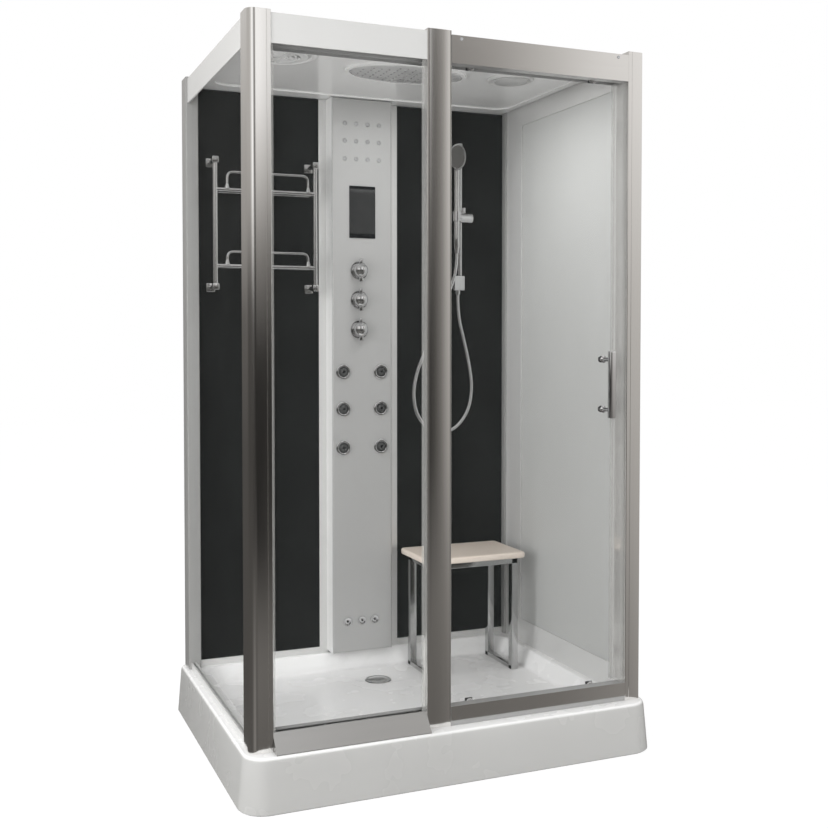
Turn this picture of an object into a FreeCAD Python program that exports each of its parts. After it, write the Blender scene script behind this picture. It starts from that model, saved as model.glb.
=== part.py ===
"""Steam shower cabin as an assembly of separate pieces. Millimetres, +Z up, the front is -Y, the origin is the
middle of the footprint on the floor."""
import FreeCAD, Part
import math
import os

V = FreeCAD.Vector
X, Y, Z = V(1, 0, 0), V(0, 1, 0), V(0, 0, 1)

# ---- tray ----
TRAY_WIDTH, TRAY_DEPTH = 1300.0, 980.0      # at the foot of the flared skirt
RIM_HEIGHT = 150.0
SKIRT_FLARE, BACK_FLARE = 14.0, 4.0         # how far the rim stands in from the foot
SKIRT_CORNER, BACK_CORNER = 78.0, 44.0
RIM_ROUND = 10.0
TRAY_WALL = 6.0
BASIN_DEPTH = 60.0
RIM_SIDE, RIM_FRONT_WIDTH, RIM_BACK_WIDTH = 76.0, 116.0, 74.0   # flat rim round the basin's mouth
BASIN_DRAFT = 22.0                          # how far the floor's edge stands in from the mouth
BASIN_CORNER = 80.0
FLOOR_ROUND = 6.0
PIPE_NOTCH_WIDTH, PIPE_NOTCH_HEIGHT = 110.0, 66.0

# ---- drain ----
DRAIN_SETBACK = 178.0                       # from the basin's back edge
WASTE_BORE_R = 25.0
WASTE_SLEEVE_R = 29.0
DRAIN_COVER_R = 46.0
COVER_THICK = 4.0
TRAP_CUP_R, TRAP_CUP_FOOT = 41.0, 9.0
WASTE_PIPE_R, WASTE_PIPE_Z, WASTE_PIPE_INSET = 20.0, 32.0, 8.0
WASTE_PIPE_LENGTH = 150.0

# ---- frame and feet under the tray ----
FRAME_TUBE = 28.0
FRAME_SIDE_INSET, FRAME_FRONT_INSET, FRAME_BACK_INSET = 140.0, 70.0, 62.0   # from the basin's mouth
FRAME_WALL = 2.5
FOOT_PAD_R, FOOT_PAD_THICK, FOOT_ROD_R = 20.0, 8.0, 6.0
FOOT_NUT_R, FOOT_NUT_THICK = 11.0, 8.0

# ---- posts ----
POST_SIDE_INSET, POST_FRONT_INSET, POST_BACK_INSET = 16.0, 41.0, 8.0        # from the tray's rim
POST_TOP = 2150.0
FRONT_POST_DEPTH = 67.0
FRONT_LEFT_WIDTH, FRONT_RIGHT_WIDTH = 67.0, 53.0
POST_CORNER_R = 38.0
POST_WALL = 2.5
DOOR_OPENING = 591.0                        # between the middle post and the right one
MIDDLE_WIDTH, MIDDLE_DEPTH = 75.0, 31.0
BACK_POST_WIDTH, BACK_POST_DEPTH = 42.0, 73.0
SCREW_PORT_R, SCREW_PORT_BORE = 4.6, 2.2
PORT_WEB, PORT_REACH = 2.4, 20.0
CAP_THICK = 3.0

# ---- panes and panels ----
PANE = 6.0
PANE_CLEARANCE = 1.0                        # each side of a pane in its groove
GROOVE_DEPTH = 8.0
FIXED_PANE_SETBACK = 18.0                   # behind the posts' front face
DOOR_PANE_SETBACK = 10.0                    # behind the channel's front wall
SIDE_PANE_INSET, RIGHT_PANEL_INSET = 14.0, 30.0
BACK_PANEL_INSET = 47.0                     # in front of the rear posts' back face
BACK_PANEL_THICK = 5.0
PANE_LIFT, PANE_IN_ROOF = 12.0, 18.0        # above the rim, and above the roof's lower edge

# ---- sill, door tracks, side profiles ----
SILL_REACH, SILL_HEIGHT, SILL_FLAT = 31.0, 51.0, 20.0
TRACK_WALL = 2.5
TRACK_SHELF_WIDTH = 13.5                    # from the channel's back to the slot for pane and brackets
TOP_RAIL_DROP, TOP_RAIL_HEIGHT = 12.0, 80.0
TOP_SHELF_RISE = 21.0                       # the upper wheels run on this shelf of the rail
SHELF_THICK = 3.0
BOTTOM_FACE_LIFT, BOTTOM_RAIL_HEIGHT = 16.0, 57.0
BOTTOM_SHELF_RISE = 14.0                    # the lower wheels run on this shelf
CHANNEL_LIP = 26.0
SIDE_PROFILE_HEIGHT = 22.0
SIDE_PROFILE_HALF = 9.0
RIGHT_FRAME_THICK = 20.0
RIGHT_BAR_FRONT, RIGHT_BAR_BACK, RIGHT_BAR_FOOT, RIGHT_BAR_TOP = 46.0, 114.0, 85.0, 7.0
RIGHT_GROOVE = 19.0

# ---- sliding door ----
DOOR_OVERLAP, DOOR_EDGE_GAP = 38.0, 22.0    # behind the middle post, and to the right post
DOOR_FOOT_GAP, DOOR_TOP_RISE = 6.0, 1.0     # above the lower and the upper shelf
EDGE_SEAL_HALF = 7.0
EDGE_SEAL_THICK = 14.0
STRIKE_THICK = 14.7
LIP_SEAL_WIDTH, LIP_SEAL_THICK = 8.0, 5.0
HANDLE_INSET, HANDLE_FOOT, HANDLE_LENGTH = 38.0, 1030.0, 205.0
HANDLE_WIDTH, HANDLE_THICK, HANDLE_STANDOFF = 22.0, 15.0, 44.0
HANDLE_SPACING = 154.0
STANDOFF_R, ROSETTE_R, ROSETTE_THICK = 7.0, 11.0, 7.0
ROLLER_INSETS = (115.0, 80.0)
TOP_BOLT_RISE, BOTTOM_BOLT_DROP = 4.0, 8.0
WHEEL_R, LOWER_WHEEL_R, WHEEL_THICK = 12.0, 10.0, 7.0
AXLE_R, AXLE_FIT = 3.0, 0.05
BRACKET_HALF_WIDTH, BRACKET_THICK = 12.0, 3.0
BOLT_R, BOLT_HEAD_R, BOLT_HEAD = 5.6, 12.0, 5.0
HOLE_CLEARANCE = 0.4

# ---- equipment column ----
COLUMN_LEFT, COLUMN_WIDTH = -122.0, 225.0
COLUMN_PROUD = 69.0                         # in front of the back panels
COLUMN_SHEET = 3.0
COLUMN_FOOT_LIFT, COLUMN_TOP_GAP = 10.0, 2.0
COLUMN_EDGE_R = 7.0
FLANGE_LEFT_WIDTH, FLANGE_RIGHT_WIDTH = 27.0, 45.0
FLANGE_PROUD, FLANGE_THICK = 3.0, 2.6
COLUMN_BACK_INSET = 11.0
DISPLAY_INSET, DISPLAY_WIDTH, DISPLAY_DROP, DISPLAY_HEIGHT = 64.0, 97.0, 305.0, 183.0
DISPLAY_PROUD, DISPLAY_BODY_DEPTH, DISPLAY_LIP = 1.6, 26.0, 6.0
VALVE_INSET = 100.0
VALVE_DROPS = (114.0, 217.0, 322.0)         # below the display
VALVE_R, VALVE_DEPTH, VALVE_NOSE_R = 22.0, 78.0, 10.0
ROSETTE_DISC_R, ROSETTE_DISC_THICK = 32.0, 4.0
SPINDLE_R, SPINDLE_PROUD = 4.0, 28.0
KNOB_R, KNOB_DEPTH, KNOB_SPAN, KNOB_TAB_HALF = 25.0, 40.0, 82.0, 7.0
MANIFOLD_R, PIPE_SETBACK, PIPE_R = 11.0, 58.0, 8.0
HEADER_R, LINK_R = 9.5, 5.0                 # pipes that others join, and short links
INLET_R, INLET_PROUD, UNION_CLEARANCE = 10.45, 7.0, 4.0
JET_INSETS = (41.0, 43.0)
JET_DROPS = (149.0, 280.0, 417.0)           # below the lowest valve
JET_FLANGE_R, JET_FLANGE_PROUD = 27.0, 6.0
JET_TUBE_R, JET_SEAT_R, JET_BALL_R = 20.0, 16.2, 15.9
JET_BALL_SETBACK, JET_BALL_PROUD, JET_BALL_TAIL = 2.0, 10.5, 13.5
JET_TUBE_DEPTH, JET_SPIGOT_R = 23.0, 6.0
JET_BORE_R = 4.5
SPRAY_INSETS = (48.0, 90.0, 132.5, 175.0)
SPRAY_DROPS = (88.0, 149.0, 211.0)
SPRAY_HEAD_R, SPRAY_PROUD, SPRAY_STEM_R, SPRAY_STEM_DEPTH = 4.6, 2.6, 2.6, 9.7
SPRAY_PIPE_R = 7.0
OUTLET_INSETS = (55.0, 109.5, 157.0)
OUTLET_LIFT, OUTLET_R, OUTLET_PROUD = 120.0, 16.0, 3.0
OUTLET_STEM_R, OUTLET_STEM_DEPTH = 9.0, 12.7
SEAT_GAP = 0.2                              # between a rigid piece and the face that it is screwed to
GENERATOR_INSETS, GENERATOR_SETBACK = (22.0, 23.0), 10.0
GENERATOR_LIFT, GENERATOR_HEIGHT = 30.0, 340.0

# ---- towel rack ----
RACK_INSETS = (85.0, 66.0)                  # from the cabin's side and from the column
RACK_DROP, RACK_HEIGHT, RACK_DEPTH = 248.0, 422.0, 85.0
RACK_TUBE_R, RACK_ARM_R, RACK_PLATE, RACK_PLATE_THICK = 8.0, 8.0, 30.0, 8.0
UPPER_SHELF_DROP, LOWER_SHELF_RISE = 98.0, 70.0
SHELF_ROD_R, SHELF_BACK_GAP = 7.0, 26.0
GUARD_INSETS, GUARD_RISE, GUARD_R, GUARD_BEND = (40.0, 26.0), (60.0, 48.0), 4.5, 22.0

# ---- riser rail, slider, hand shower ----
RISER_INSET, RISER_PROUD, RISER_R = 242.0, 50.0, 9.0
RISER_DROP, RISER_MOUNT_DROP, RISER_LENGTH = 133.0, 30.0, 480.0
RISER_FLANGE_R, RISER_FLANGE_THICK, RISER_ARM_R = 19.0, 6.0, 8.0
BLOCK_LEFT, BLOCK_RIGHT, BLOCK_PROUD, BLOCK_HEIGHT = 35.0, 11.0, 75.0, 55.0   # the outlet block round the riser's foot
NIPPLE_SHIFT, NIPPLE_SETBACK, NIPPLE_R, NIPPLE_LENGTH = 13.0, 14.0, 10.0, 14.0
STUB_R, STUB_DEPTH = 10.0, 12.7
SLIDER_DROP, SLIDER_R, SLIDER_LEFT, SLIDER_RIGHT = 268.0, 20.0, 40.0, 46.0
SLIDER_OFFSET = 4.0
SLIDER_FIT = 0.1
HOLDER_R, HOLDER_HEIGHT = 18.0, 34.0
CLAMP_KNOB_SHIFT, CLAMP_KNOB_R, CLAMP_KNOB_HEIGHT = 13.0, 9.0, 17.0
HANDSET_LEFT, HANDSET_PROUD = 32.0, 43.0
HANDLE_R, HANDLE_BELOW, HANDLE_NUT = 12.0, 115.0, 17.0
HEAD_RISE, HEAD_HALF_WIDTH, HEAD_HALF_HEIGHT, HEAD_THICK = 216.0, 31.0, 46.5, 22.0
HEAD_TAPER, HEAD_TILT, HEAD_TURN = 9.0, 12.0, -20.0
HANDSET_GAP = 0.3

# ---- shower hose: the route's points were chosen by hand ----
HOSE_R = 7.0
HOSE_ROUTE = (
    (346.0, 338.0, 1585.0), (346.0, 338.0, 1528.0), (326.0, 346.0, 1458.0), (294.0, 356.0, 1380.0),
    (262.0, 364.0, 1296.0), (228.0, 370.0, 1214.0), (199.0, 373.0, 1138.0), (189.0, 373.0, 1058.0),
    (209.0, 371.0, 980.0), (273.0, 367.0, 927.0), (348.0, 363.0, 938.0), (404.0, 361.0, 1005.0),
    (420.0, 361.0, 1094.0), (407.0, 363.0, 1185.0), (386.0, 367.0, 1278.0), (365.0, 370.0, 1362.0),
    (365.0, 370.0, 1436.0),
)
ARC_SHARE = 0.45

# ---- stool ----
STOOL_GAPS, STOOL_BACK_GAP, STOOL_DEPTH = (43.0, 30.0), 19.0, 250.0   # to the column, the basin's side and back
STOOL_HEIGHT, SEAT_THICK, SEAT_ROUND, SEAT_CORNER = 424.0, 22.0, 6.0, 14.0
LEG, LEG_INSET_X, LEG_INSET_Y = 25.0, 23.0, 17.0
RUNNER_HEIGHT, SEAT_RAIL_HEIGHT = 15.0, 20.0
STOOL_GAP = 0.3

# ---- roof ----
ROOF_SIDE_INSET, ROOF_FRONT_INSET, ROOF_BACK_INSET = 6.0, 4.0, 4.0
ROOF_DROP, ROOF_HEIGHT, ROOF_SKIN, ROOF_FLANGE = 7.0, 81.0, 5.0, 4.5
CEILING_DROP, CEILING_SKIN = 25.0, 8.0
CEILING_SIDE_GAP, CEILING_FRONT_GAP, CEILING_BACK_GAP = 8.0, 6.0, 5.0
PAN_RECESS = 4.0                            # the middle of the ceiling is raised by this
PAN_SIDE_INSET, PAN_FRONT_INSET, PAN_BACK_GAP, PAN_CORNER = 25.0, 24.0, 7.0, 60.0
OVAL_X, OVAL_Y = 0.0, -30.0
OVAL_OUTER, OVAL_INNER, OVAL_DROP = (203.0, 121.0), (190.0, 108.0), 9.0
RAIN_HEAD = (186.0, 104.0)
RAIN_THICK, RAIN_NUB_R, RAIN_NUB, RAIN_PITCH = 9.0, 2.6, 2.0, 26.0
RAIN_SPIGOT_R = 10.0
FAN_INSET, FAN_Y, FAN_GRILLE_R, FAN_TUBE_R = 116.0, -93.0, 80.0, 60.0
FAN_GRILLE_THICK, FAN_WALL, FAN_RISE = 8.0, 3.0, 31.0
FAN_SHAFT_R, FAN_ROTOR_R, FAN_HUB_R, FAN_BLADES = 3.0, 52.0, 15.0, 7
FAN_ROTOR_RISE, FAN_ROTOR_HEIGHT, BLADE_WIDTH = 3.0, 14.0, 18.0
LIGHT_INSET, LIGHT_Y, LIGHT_RING_R, LIGHT_LENS_R = 198.0, -81.0, 76.0, 60.0
LIGHT_RING_THICK, LIGHT_DOME, LIGHT_BODY_RISE = 8.0, 13.0, 26.0

# ---- fasteners ----
SCREW_R, SCREW_HEAD_R, SCREW_HEAD, SCREW_GRIP = 2.1, 4.5, 3.0, 22.0
SCREW_HOLE_R = 2.8


# ---------------------------------------------------------------- helpers
def box(x0, x1, y0, y1, z0, z1):
    """Box between two corners."""
    return Part.makeBox(x1 - x0, y1 - y0, z1 - z0, V(x0, y0, z0))


def rod(x, y, z, axis, radius, length):
    """Cylinder from a point along an axis."""
    return Part.makeCylinder(radius, length, V(x, y, z), axis)


def along_y(x, z, radius, y0, y1):
    """Cylinder along Y between two depths."""
    return Part.makeCylinder(radius, y1 - y0, V(x, y0, z), Y)


def prism(points, z0, z1):
    """Upright prism over a closed polygon of XY points."""
    corners = [V(px, py, z0) for px, py in points]
    return Part.Face(Part.makePolygon(corners + corners[:1])).extrude(V(0, 0, z1 - z0))


def beam(points, x0, x1):
    """Prism along X over a closed polygon of YZ points."""
    corners = [V(x0, py, pz) for py, pz in points]
    return Part.Face(Part.makePolygon(corners + corners[:1])).extrude(V(x1 - x0, 0, 0))


def rounded_wire(x0, x1, y0, y1, radius, z, back_radius=None):
    """Rectangle with round corners, as a wire at one height. The two back corners may have their own radius."""
    rf, rb = radius, back_radius or radius
    kf, kb = rf * (1 - math.sqrt(0.5)), rb * (1 - math.sqrt(0.5))
    sides = [
        ((x0 + rf, y0), (x1 - rf, y0), (x1 - kf, y0 + kf), (x1, y0 + rf)),
        ((x1, y0 + rf), (x1, y1 - rb), (x1 - kb, y1 - kb), (x1 - rb, y1)),
        ((x1 - rb, y1), (x0 + rb, y1), (x0 + kb, y1 - kb), (x0, y1 - rb)),
        ((x0, y1 - rb), (x0, y0 + rf), (x0 + kf, y0 + kf), (x0 + rf, y0)),
    ]
    edges = []
    for start, end, middle, turn_end in sides:
        a, b, c, d = (V(px, py, z) for px, py in (start, end, middle, turn_end))
        edges.append(Part.LineSegment(a, b).toShape())
        edges.append(Part.Arc(b, c, d).toShape())
    return Part.Wire(edges)


def rounded_box(x0, x1, y0, y1, radius, z0, z1):
    """Upright box with round vertical edges."""
    return Part.Face(rounded_wire(x0, x1, y0, y1, radius, z0)).extrude(V(0, 0, z1 - z0))


def drafted_box(low, high, radii_low, radii_high, z0, z1):
    """Solid between two rounded rectangles (x0, x1, y0, y1) with (front, back) radii at two heights."""
    wires = [
        rounded_wire(*low, radii_low[0], z0, radii_low[1]),
        rounded_wire(*high, radii_high[0], z1, radii_high[1]),
    ]
    return Part.makeLoft(wires, True, True)


def oval(half_x, half_y, z0, z1):
    """Upright elliptic cylinder about the middle of the rain head."""
    edge = Part.Ellipse(V(OVAL_X, OVAL_Y, z0), half_x, half_y).toShape()
    return Part.Face(Part.Wire([edge])).extrude(V(0, 0, z1 - z0))


def bent_tube(points, radii, radius):
    """Round rod along straight runs joined by tangent arcs. Returns the solid and its path's length."""
    edges, last = [], V(*points[0])
    for i in range(1, len(points) - 1):
        corner = V(*points[i])
        before = (V(*points[i - 1]) - corner).normalize()
        after = (V(*points[i + 1]) - corner).normalize()
        half_turn = (math.pi - before.getAngle(after)) / 2
        reach = radii[i - 1] * math.tan(half_turn)
        start, end = corner + before * reach, corner + after * reach
        inward = (before + after).normalize()
        sag = radii[i - 1] / math.cos(half_turn) - radii[i - 1]
        edges.append(Part.LineSegment(last, start).toShape())
        edges.append(Part.Arc(start, corner + inward * sag, end).toShape())
        last = end
    edges.append(Part.LineSegment(last, V(*points[-1])).toShape())
    path = Part.Wire(edges)
    first_run = (V(*points[1]) - V(*points[0])).normalize()
    profile = Part.Wire([Part.Circle(V(*points[0]), first_run, radius).toShape()])
    return path.makePipeShell([profile], True, False), path.Length


def arc_radii(points):
    """Each corner's arc radius: a share of the shorter run over the tangent of half the turn."""
    radii = []
    for i in range(1, len(points) - 1):
        before = V(*points[i]) - V(*points[i - 1])
        after = V(*points[i + 1]) - V(*points[i])
        shorter = min(before.Length, after.Length)
        radii.append(ARC_SHARE * shorter / math.tan(before.getAngle(after) / 2))
    return radii


def fuse(solids):
    """Several solids as one, with no seams left on flat faces."""
    first, rest = solids[0], list(solids[1:])
    return first.fuse(rest).removeSplitter() if rest else first


def group(solids):
    """Separate solids that share one node."""
    return Part.makeCompound(list(solids))


# ---------------------------------------------------------------- places worked out from the sizes
RIM_X = TRAY_WIDTH / 2 - SKIRT_FLARE
RIM_FRONT, RIM_BACK = SKIRT_FLARE - TRAY_DEPTH / 2, TRAY_DEPTH / 2 - BACK_FLARE
RIM_CORNERS = (SKIRT_CORNER - SKIRT_FLARE, BACK_CORNER - SKIRT_FLARE)
BASIN_FLOOR = RIM_HEIGHT - BASIN_DEPTH
BASIN_HALF_WIDTH = RIM_X - RIM_SIDE
BASIN_FRONT, BASIN_BACK = RIM_FRONT + RIM_FRONT_WIDTH, RIM_BACK - RIM_BACK_WIDTH
FLOOR_UNDERSIDE = BASIN_FLOOR - TRAY_WALL
RIM_UNDERSIDE = RIM_HEIGHT - TRAY_WALL
DRAIN_Y = BASIN_BACK - DRAIN_SETBACK
WASTE_PIPE_END = RIM_BACK - WASTE_PIPE_INSET
FRAME_X = BASIN_HALF_WIDTH - FRAME_SIDE_INSET
FRAME_FRONT_Y, FRAME_BACK_Y = BASIN_FRONT + FRAME_FRONT_INSET, BASIN_BACK - FRAME_BACK_INSET

CABIN_HALF_WIDTH = RIM_X - POST_SIDE_INSET
FRONT_FACE = RIM_FRONT + POST_FRONT_INSET
FRONT_LEFT_INNER = -CABIN_HALF_WIDTH + FRONT_LEFT_WIDTH
FRONT_RIGHT_INNER = CABIN_HALF_WIDTH - FRONT_RIGHT_WIDTH
FRONT_POST_BACK = FRONT_FACE + FRONT_POST_DEPTH
MIDDLE_RIGHT = FRONT_RIGHT_INNER - DOOR_OPENING
MIDDLE_LEFT = MIDDLE_RIGHT - MIDDLE_WIDTH
MIDDLE_BACK = FRONT_FACE + MIDDLE_DEPTH
BACK_POST_INNER = CABIN_HALF_WIDTH - BACK_POST_WIDTH
BACK_POST_BACK = RIM_BACK - POST_BACK_INSET
BACK_POST_FRONT = BACK_POST_BACK - BACK_POST_DEPTH

ROOF_HALF_WIDTH = CABIN_HALF_WIDTH - ROOF_SIDE_INSET
ROOF_FRONT, ROOF_BACK = FRONT_FACE + ROOF_FRONT_INSET, BACK_POST_BACK - ROOF_BACK_INSET
ROOF_TOP = POST_TOP - ROOF_DROP
ROOF_FOOT = ROOF_TOP - ROOF_HEIGHT
CEILING = ROOF_TOP - CEILING_DROP
PAN_CEILING = CEILING + PAN_RECESS
ROOF_DECK = CEILING + CEILING_SKIN

CHANNEL_FRONT, CHANNEL_BACK = MIDDLE_BACK, FRONT_POST_BACK
TRACK_SLOT_BACK = CHANNEL_BACK - TRACK_SHELF_WIDTH
SILL_FRONT, SILL_TOP = FRONT_FACE - SILL_REACH, RIM_HEIGHT + SILL_HEIGHT
TOP_RAIL_TOP = POST_TOP - TOP_RAIL_DROP
TOP_RAIL_FOOT = TOP_RAIL_TOP - TOP_RAIL_HEIGHT
TOP_SHELF = TOP_RAIL_FOOT + TOP_SHELF_RISE
BOTTOM_RAIL_FOOT, BOTTOM_RAIL_TOP = RIM_HEIGHT + BOTTOM_FACE_LIFT, RIM_HEIGHT + BOTTOM_RAIL_HEIGHT
BOTTOM_SHELF = RIM_HEIGHT + BOTTOM_SHELF_RISE
SIDE_PROFILE_TOP = RIM_HEIGHT + SIDE_PROFILE_HEIGHT

FIXED_PANE_Y = FRONT_FACE + FIXED_PANE_SETBACK
DOOR_PANE_Y = CHANNEL_FRONT + DOOR_PANE_SETBACK
DOOR_PANE_BACK = DOOR_PANE_Y + PANE
SIDE_PANE_X = SIDE_PANE_INSET - CABIN_HALF_WIDTH
PANE_FOOT, PANE_TOP = RIM_HEIGHT + PANE_LIFT, ROOF_FOOT + PANE_IN_ROOF
BACK_PANEL_Y = BACK_POST_BACK - BACK_PANEL_INSET
RIGHT_PANEL_X = CABIN_HALF_WIDTH - RIGHT_PANEL_INSET
RIGHT_FRAME_X1 = CABIN_HALF_WIDTH - SIDE_PANE_INSET
RIGHT_FRAME_X0 = RIGHT_FRAME_X1 - RIGHT_FRAME_THICK
RIGHT_WINDOW_FRONT, RIGHT_WINDOW_BACK = FRONT_POST_BACK + RIGHT_BAR_FRONT, BACK_POST_FRONT - RIGHT_BAR_BACK
RIGHT_WINDOW_FOOT, RIGHT_WINDOW_TOP = RIM_HEIGHT + RIGHT_BAR_FOOT, ROOF_FOOT - RIGHT_BAR_TOP

DOOR_LEFT, DOOR_RIGHT = MIDDLE_RIGHT - DOOR_OVERLAP, FRONT_RIGHT_INNER - DOOR_EDGE_GAP
DOOR_FOOT, DOOR_TOP = BOTTOM_SHELF + DOOR_FOOT_GAP, TOP_SHELF + DOOR_TOP_RISE
EDGE_SEAL_LEFT, EDGE_SEAL_RIGHT = DOOR_RIGHT - EDGE_SEAL_HALF, DOOR_RIGHT + EDGE_SEAL_HALF
HANDLE_X = DOOR_RIGHT - HANDLE_INSET
ROLLER_XS = (DOOR_LEFT + ROLLER_INSETS[0], DOOR_RIGHT - ROLLER_INSETS[1])
TOP_BOLT_Z, BOTTOM_BOLT_Z = TOP_RAIL_FOOT + TOP_BOLT_RISE, BOTTOM_RAIL_TOP - BOTTOM_BOLT_DROP
UPPER_AXLE_Z = TOP_SHELF + SEAT_GAP + WHEEL_R
LOWER_AXLE_Z = BOTTOM_SHELF + SEAT_GAP + LOWER_WHEEL_R
WHEEL_BACK = DOOR_PANE_BACK + BRACKET_THICK + 10.0

COLUMN_RIGHT = COLUMN_LEFT + COLUMN_WIDTH
COLUMN_FACE, COLUMN_BACK = BACK_PANEL_Y - COLUMN_PROUD, BACK_POST_BACK - COLUMN_BACK_INSET
COLUMN_FOOT, COLUMN_TOP = RIM_HEIGHT + COLUMN_FOOT_LIFT, CEILING - COLUMN_TOP_GAP
COLUMN_INSIDE = COLUMN_FACE + COLUMN_SHEET
FRAME_BACK_FACE = COLUMN_BACK - COLUMN_SHEET
FLANGE_LEFT, FLANGE_RIGHT = COLUMN_LEFT - FLANGE_LEFT_WIDTH, COLUMN_RIGHT + FLANGE_RIGHT_WIDTH
FLANGE_FACE = BACK_PANEL_Y - FLANGE_PROUD
DISPLAY_X0 = COLUMN_LEFT + DISPLAY_INSET
DISPLAY_X1 = DISPLAY_X0 + DISPLAY_WIDTH
DISPLAY_Z1 = COLUMN_TOP - DISPLAY_DROP
DISPLAY_Z0 = DISPLAY_Z1 - DISPLAY_HEIGHT
VALVE_X = COLUMN_LEFT + VALVE_INSET
VALVE_ZS = tuple(DISPLAY_Z0 - drop for drop in VALVE_DROPS)
VALVE_BACK, SPINDLE_FRONT = COLUMN_FACE + VALVE_DEPTH, COLUMN_FACE - SPINDLE_PROUD
PIPE_Y, INLET_END = COLUMN_FACE + PIPE_SETBACK, BACK_POST_BACK + INLET_PROUD
JET_XS = (COLUMN_LEFT + JET_INSETS[0], COLUMN_RIGHT - JET_INSETS[1])
JET_ZS = tuple(VALVE_ZS[-1] - drop for drop in JET_DROPS)
JET_FLANGE_FRONT, JET_TUBE_BACK = COLUMN_FACE - JET_FLANGE_PROUD, COLUMN_FACE + JET_TUBE_DEPTH
JET_BALL_Y = COLUMN_FACE + JET_BALL_SETBACK
JET_BALL_FRONT, JET_BALL_BACK = COLUMN_FACE - JET_BALL_PROUD, COLUMN_FACE + JET_BALL_TAIL
SPRAY_XS = tuple(COLUMN_LEFT + inset for inset in SPRAY_INSETS)
SPRAY_ZS = tuple(COLUMN_TOP - drop for drop in SPRAY_DROPS)
SPRAY_STEM_END = COLUMN_FACE + SPRAY_STEM_DEPTH
OUTLET_XS = tuple(COLUMN_LEFT + inset for inset in OUTLET_INSETS)
OUTLET_Z, OUTLET_STEM_END = RIM_HEIGHT + OUTLET_LIFT, COLUMN_FACE + OUTLET_STEM_DEPTH
GENERATOR_FOOT = OUTLET_Z + GENERATOR_LIFT
GENERATOR = (COLUMN_LEFT + GENERATOR_INSETS[0], COLUMN_RIGHT - GENERATOR_INSETS[1], COLUMN_FACE + GENERATOR_SETBACK,
             GENERATOR_FOOT, GENERATOR_FOOT + GENERATOR_HEIGHT)   # x0, x1, y0, z0, z1

RACK_XS = (RACK_INSETS[0] - CABIN_HALF_WIDTH, COLUMN_LEFT - RACK_INSETS[1])
RACK_TOP, RACK_Y = CEILING - RACK_DROP, BACK_PANEL_Y - RACK_DEPTH
RACK_FOOT = RACK_TOP - RACK_HEIGHT
SHELF_ZS = (RACK_TOP - UPPER_SHELF_DROP, RACK_FOOT + LOWER_SHELF_RISE)
SHELF_BACK_Y = BACK_PANEL_Y - SHELF_BACK_GAP
GUARD_XS = (RACK_XS[0] + GUARD_INSETS[0], RACK_XS[1] - GUARD_INSETS[1])

RISER_X, RISER_Y = CABIN_HALF_WIDTH - RISER_INSET, BACK_PANEL_Y - RISER_PROUD
RISER_TOP = CEILING - RISER_DROP
RISER_MOUNT_Z = RISER_TOP - RISER_MOUNT_DROP
BLOCK_TOP, BLOCK_FRONT = RISER_TOP - RISER_LENGTH, BACK_PANEL_Y - BLOCK_PROUD
OUTLET_BLOCK = (RISER_X - BLOCK_LEFT, RISER_X + BLOCK_RIGHT, BLOCK_FRONT, BLOCK_TOP - BLOCK_HEIGHT, BLOCK_TOP)
NIPPLE_X, NIPPLE_Y = RISER_X - NIPPLE_SHIFT, BLOCK_FRONT + NIPPLE_SETBACK
STUB_END = BACK_PANEL_Y + STUB_DEPTH
SLIDER_Z, SLIDER_Y = RISER_TOP - SLIDER_DROP, RISER_Y - SLIDER_OFFSET
SLIDER_X0, SLIDER_X1 = RISER_X - SLIDER_LEFT, RISER_X + SLIDER_RIGHT
CLAMP_KNOB_X = RISER_X + CLAMP_KNOB_SHIFT
HANDSET_X, HANDSET_Y = RISER_X - HANDSET_LEFT, RISER_Y - HANDSET_PROUD
HANDLE_BOTTOM, HEAD_Z = SLIDER_Z - HANDLE_BELOW, SLIDER_Z + HEAD_RISE

STOOL_X0, STOOL_X1 = COLUMN_RIGHT + STOOL_GAPS[0], BASIN_HALF_WIDTH - STOOL_GAPS[1]
STOOL_Y1 = BASIN_BACK - STOOL_BACK_GAP
STOOL_Y0 = STOOL_Y1 - STOOL_DEPTH
STOOL_FLOOR = BASIN_FLOOR + STOOL_GAP
SEAT_TOP = BASIN_FLOOR + STOOL_HEIGHT

CEILING_X = BACK_POST_INNER - CEILING_SIDE_GAP
CEILING_FRONT, CEILING_BACK = CHANNEL_BACK + CEILING_FRONT_GAP, BACK_PANEL_Y - CEILING_BACK_GAP
PAN_X, PAN_FRONT, PAN_BACK = CEILING_X - PAN_SIDE_INSET, CEILING_FRONT + PAN_FRONT_INSET, COLUMN_FACE - PAN_BACK_GAP
FAN_X, FAN_TOP, FAN_ROTOR_FOOT = FAN_INSET - PAN_X, CEILING + FAN_RISE, CEILING + FAN_ROTOR_RISE
LIGHT_X, LIGHT_BODY_TOP = PAN_X - LIGHT_INSET, CEILING + LIGHT_BODY_RISE
POST_PORTS = {
    "front_left_post": ((-CABIN_HALF_WIDTH + 34.0, FRONT_FACE + 10.0), (FRONT_LEFT_INNER - 24.0, FRONT_POST_BACK - 10.0)),
    "middle_post": ((MIDDLE_LEFT + 37.0, FRONT_FACE + 16.0),),
    "front_right_post": ((CABIN_HALF_WIDTH - 34.0, FRONT_POST_BACK - 10.0), (CABIN_HALF_WIDTH - 34.0, FRONT_FACE + 12.0)),
    "back_left_post": ((-CABIN_HALF_WIDTH + 10.0, BACK_POST_BACK - 10.0), (-BACK_POST_INNER - 10.0, BACK_POST_BACK - 22.0)),
    "back_right_post": ((CABIN_HALF_WIDTH - 10.0, BACK_POST_BACK - 10.0), (BACK_POST_INNER + 10.0, BACK_POST_BACK - 22.0)),
}


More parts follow.
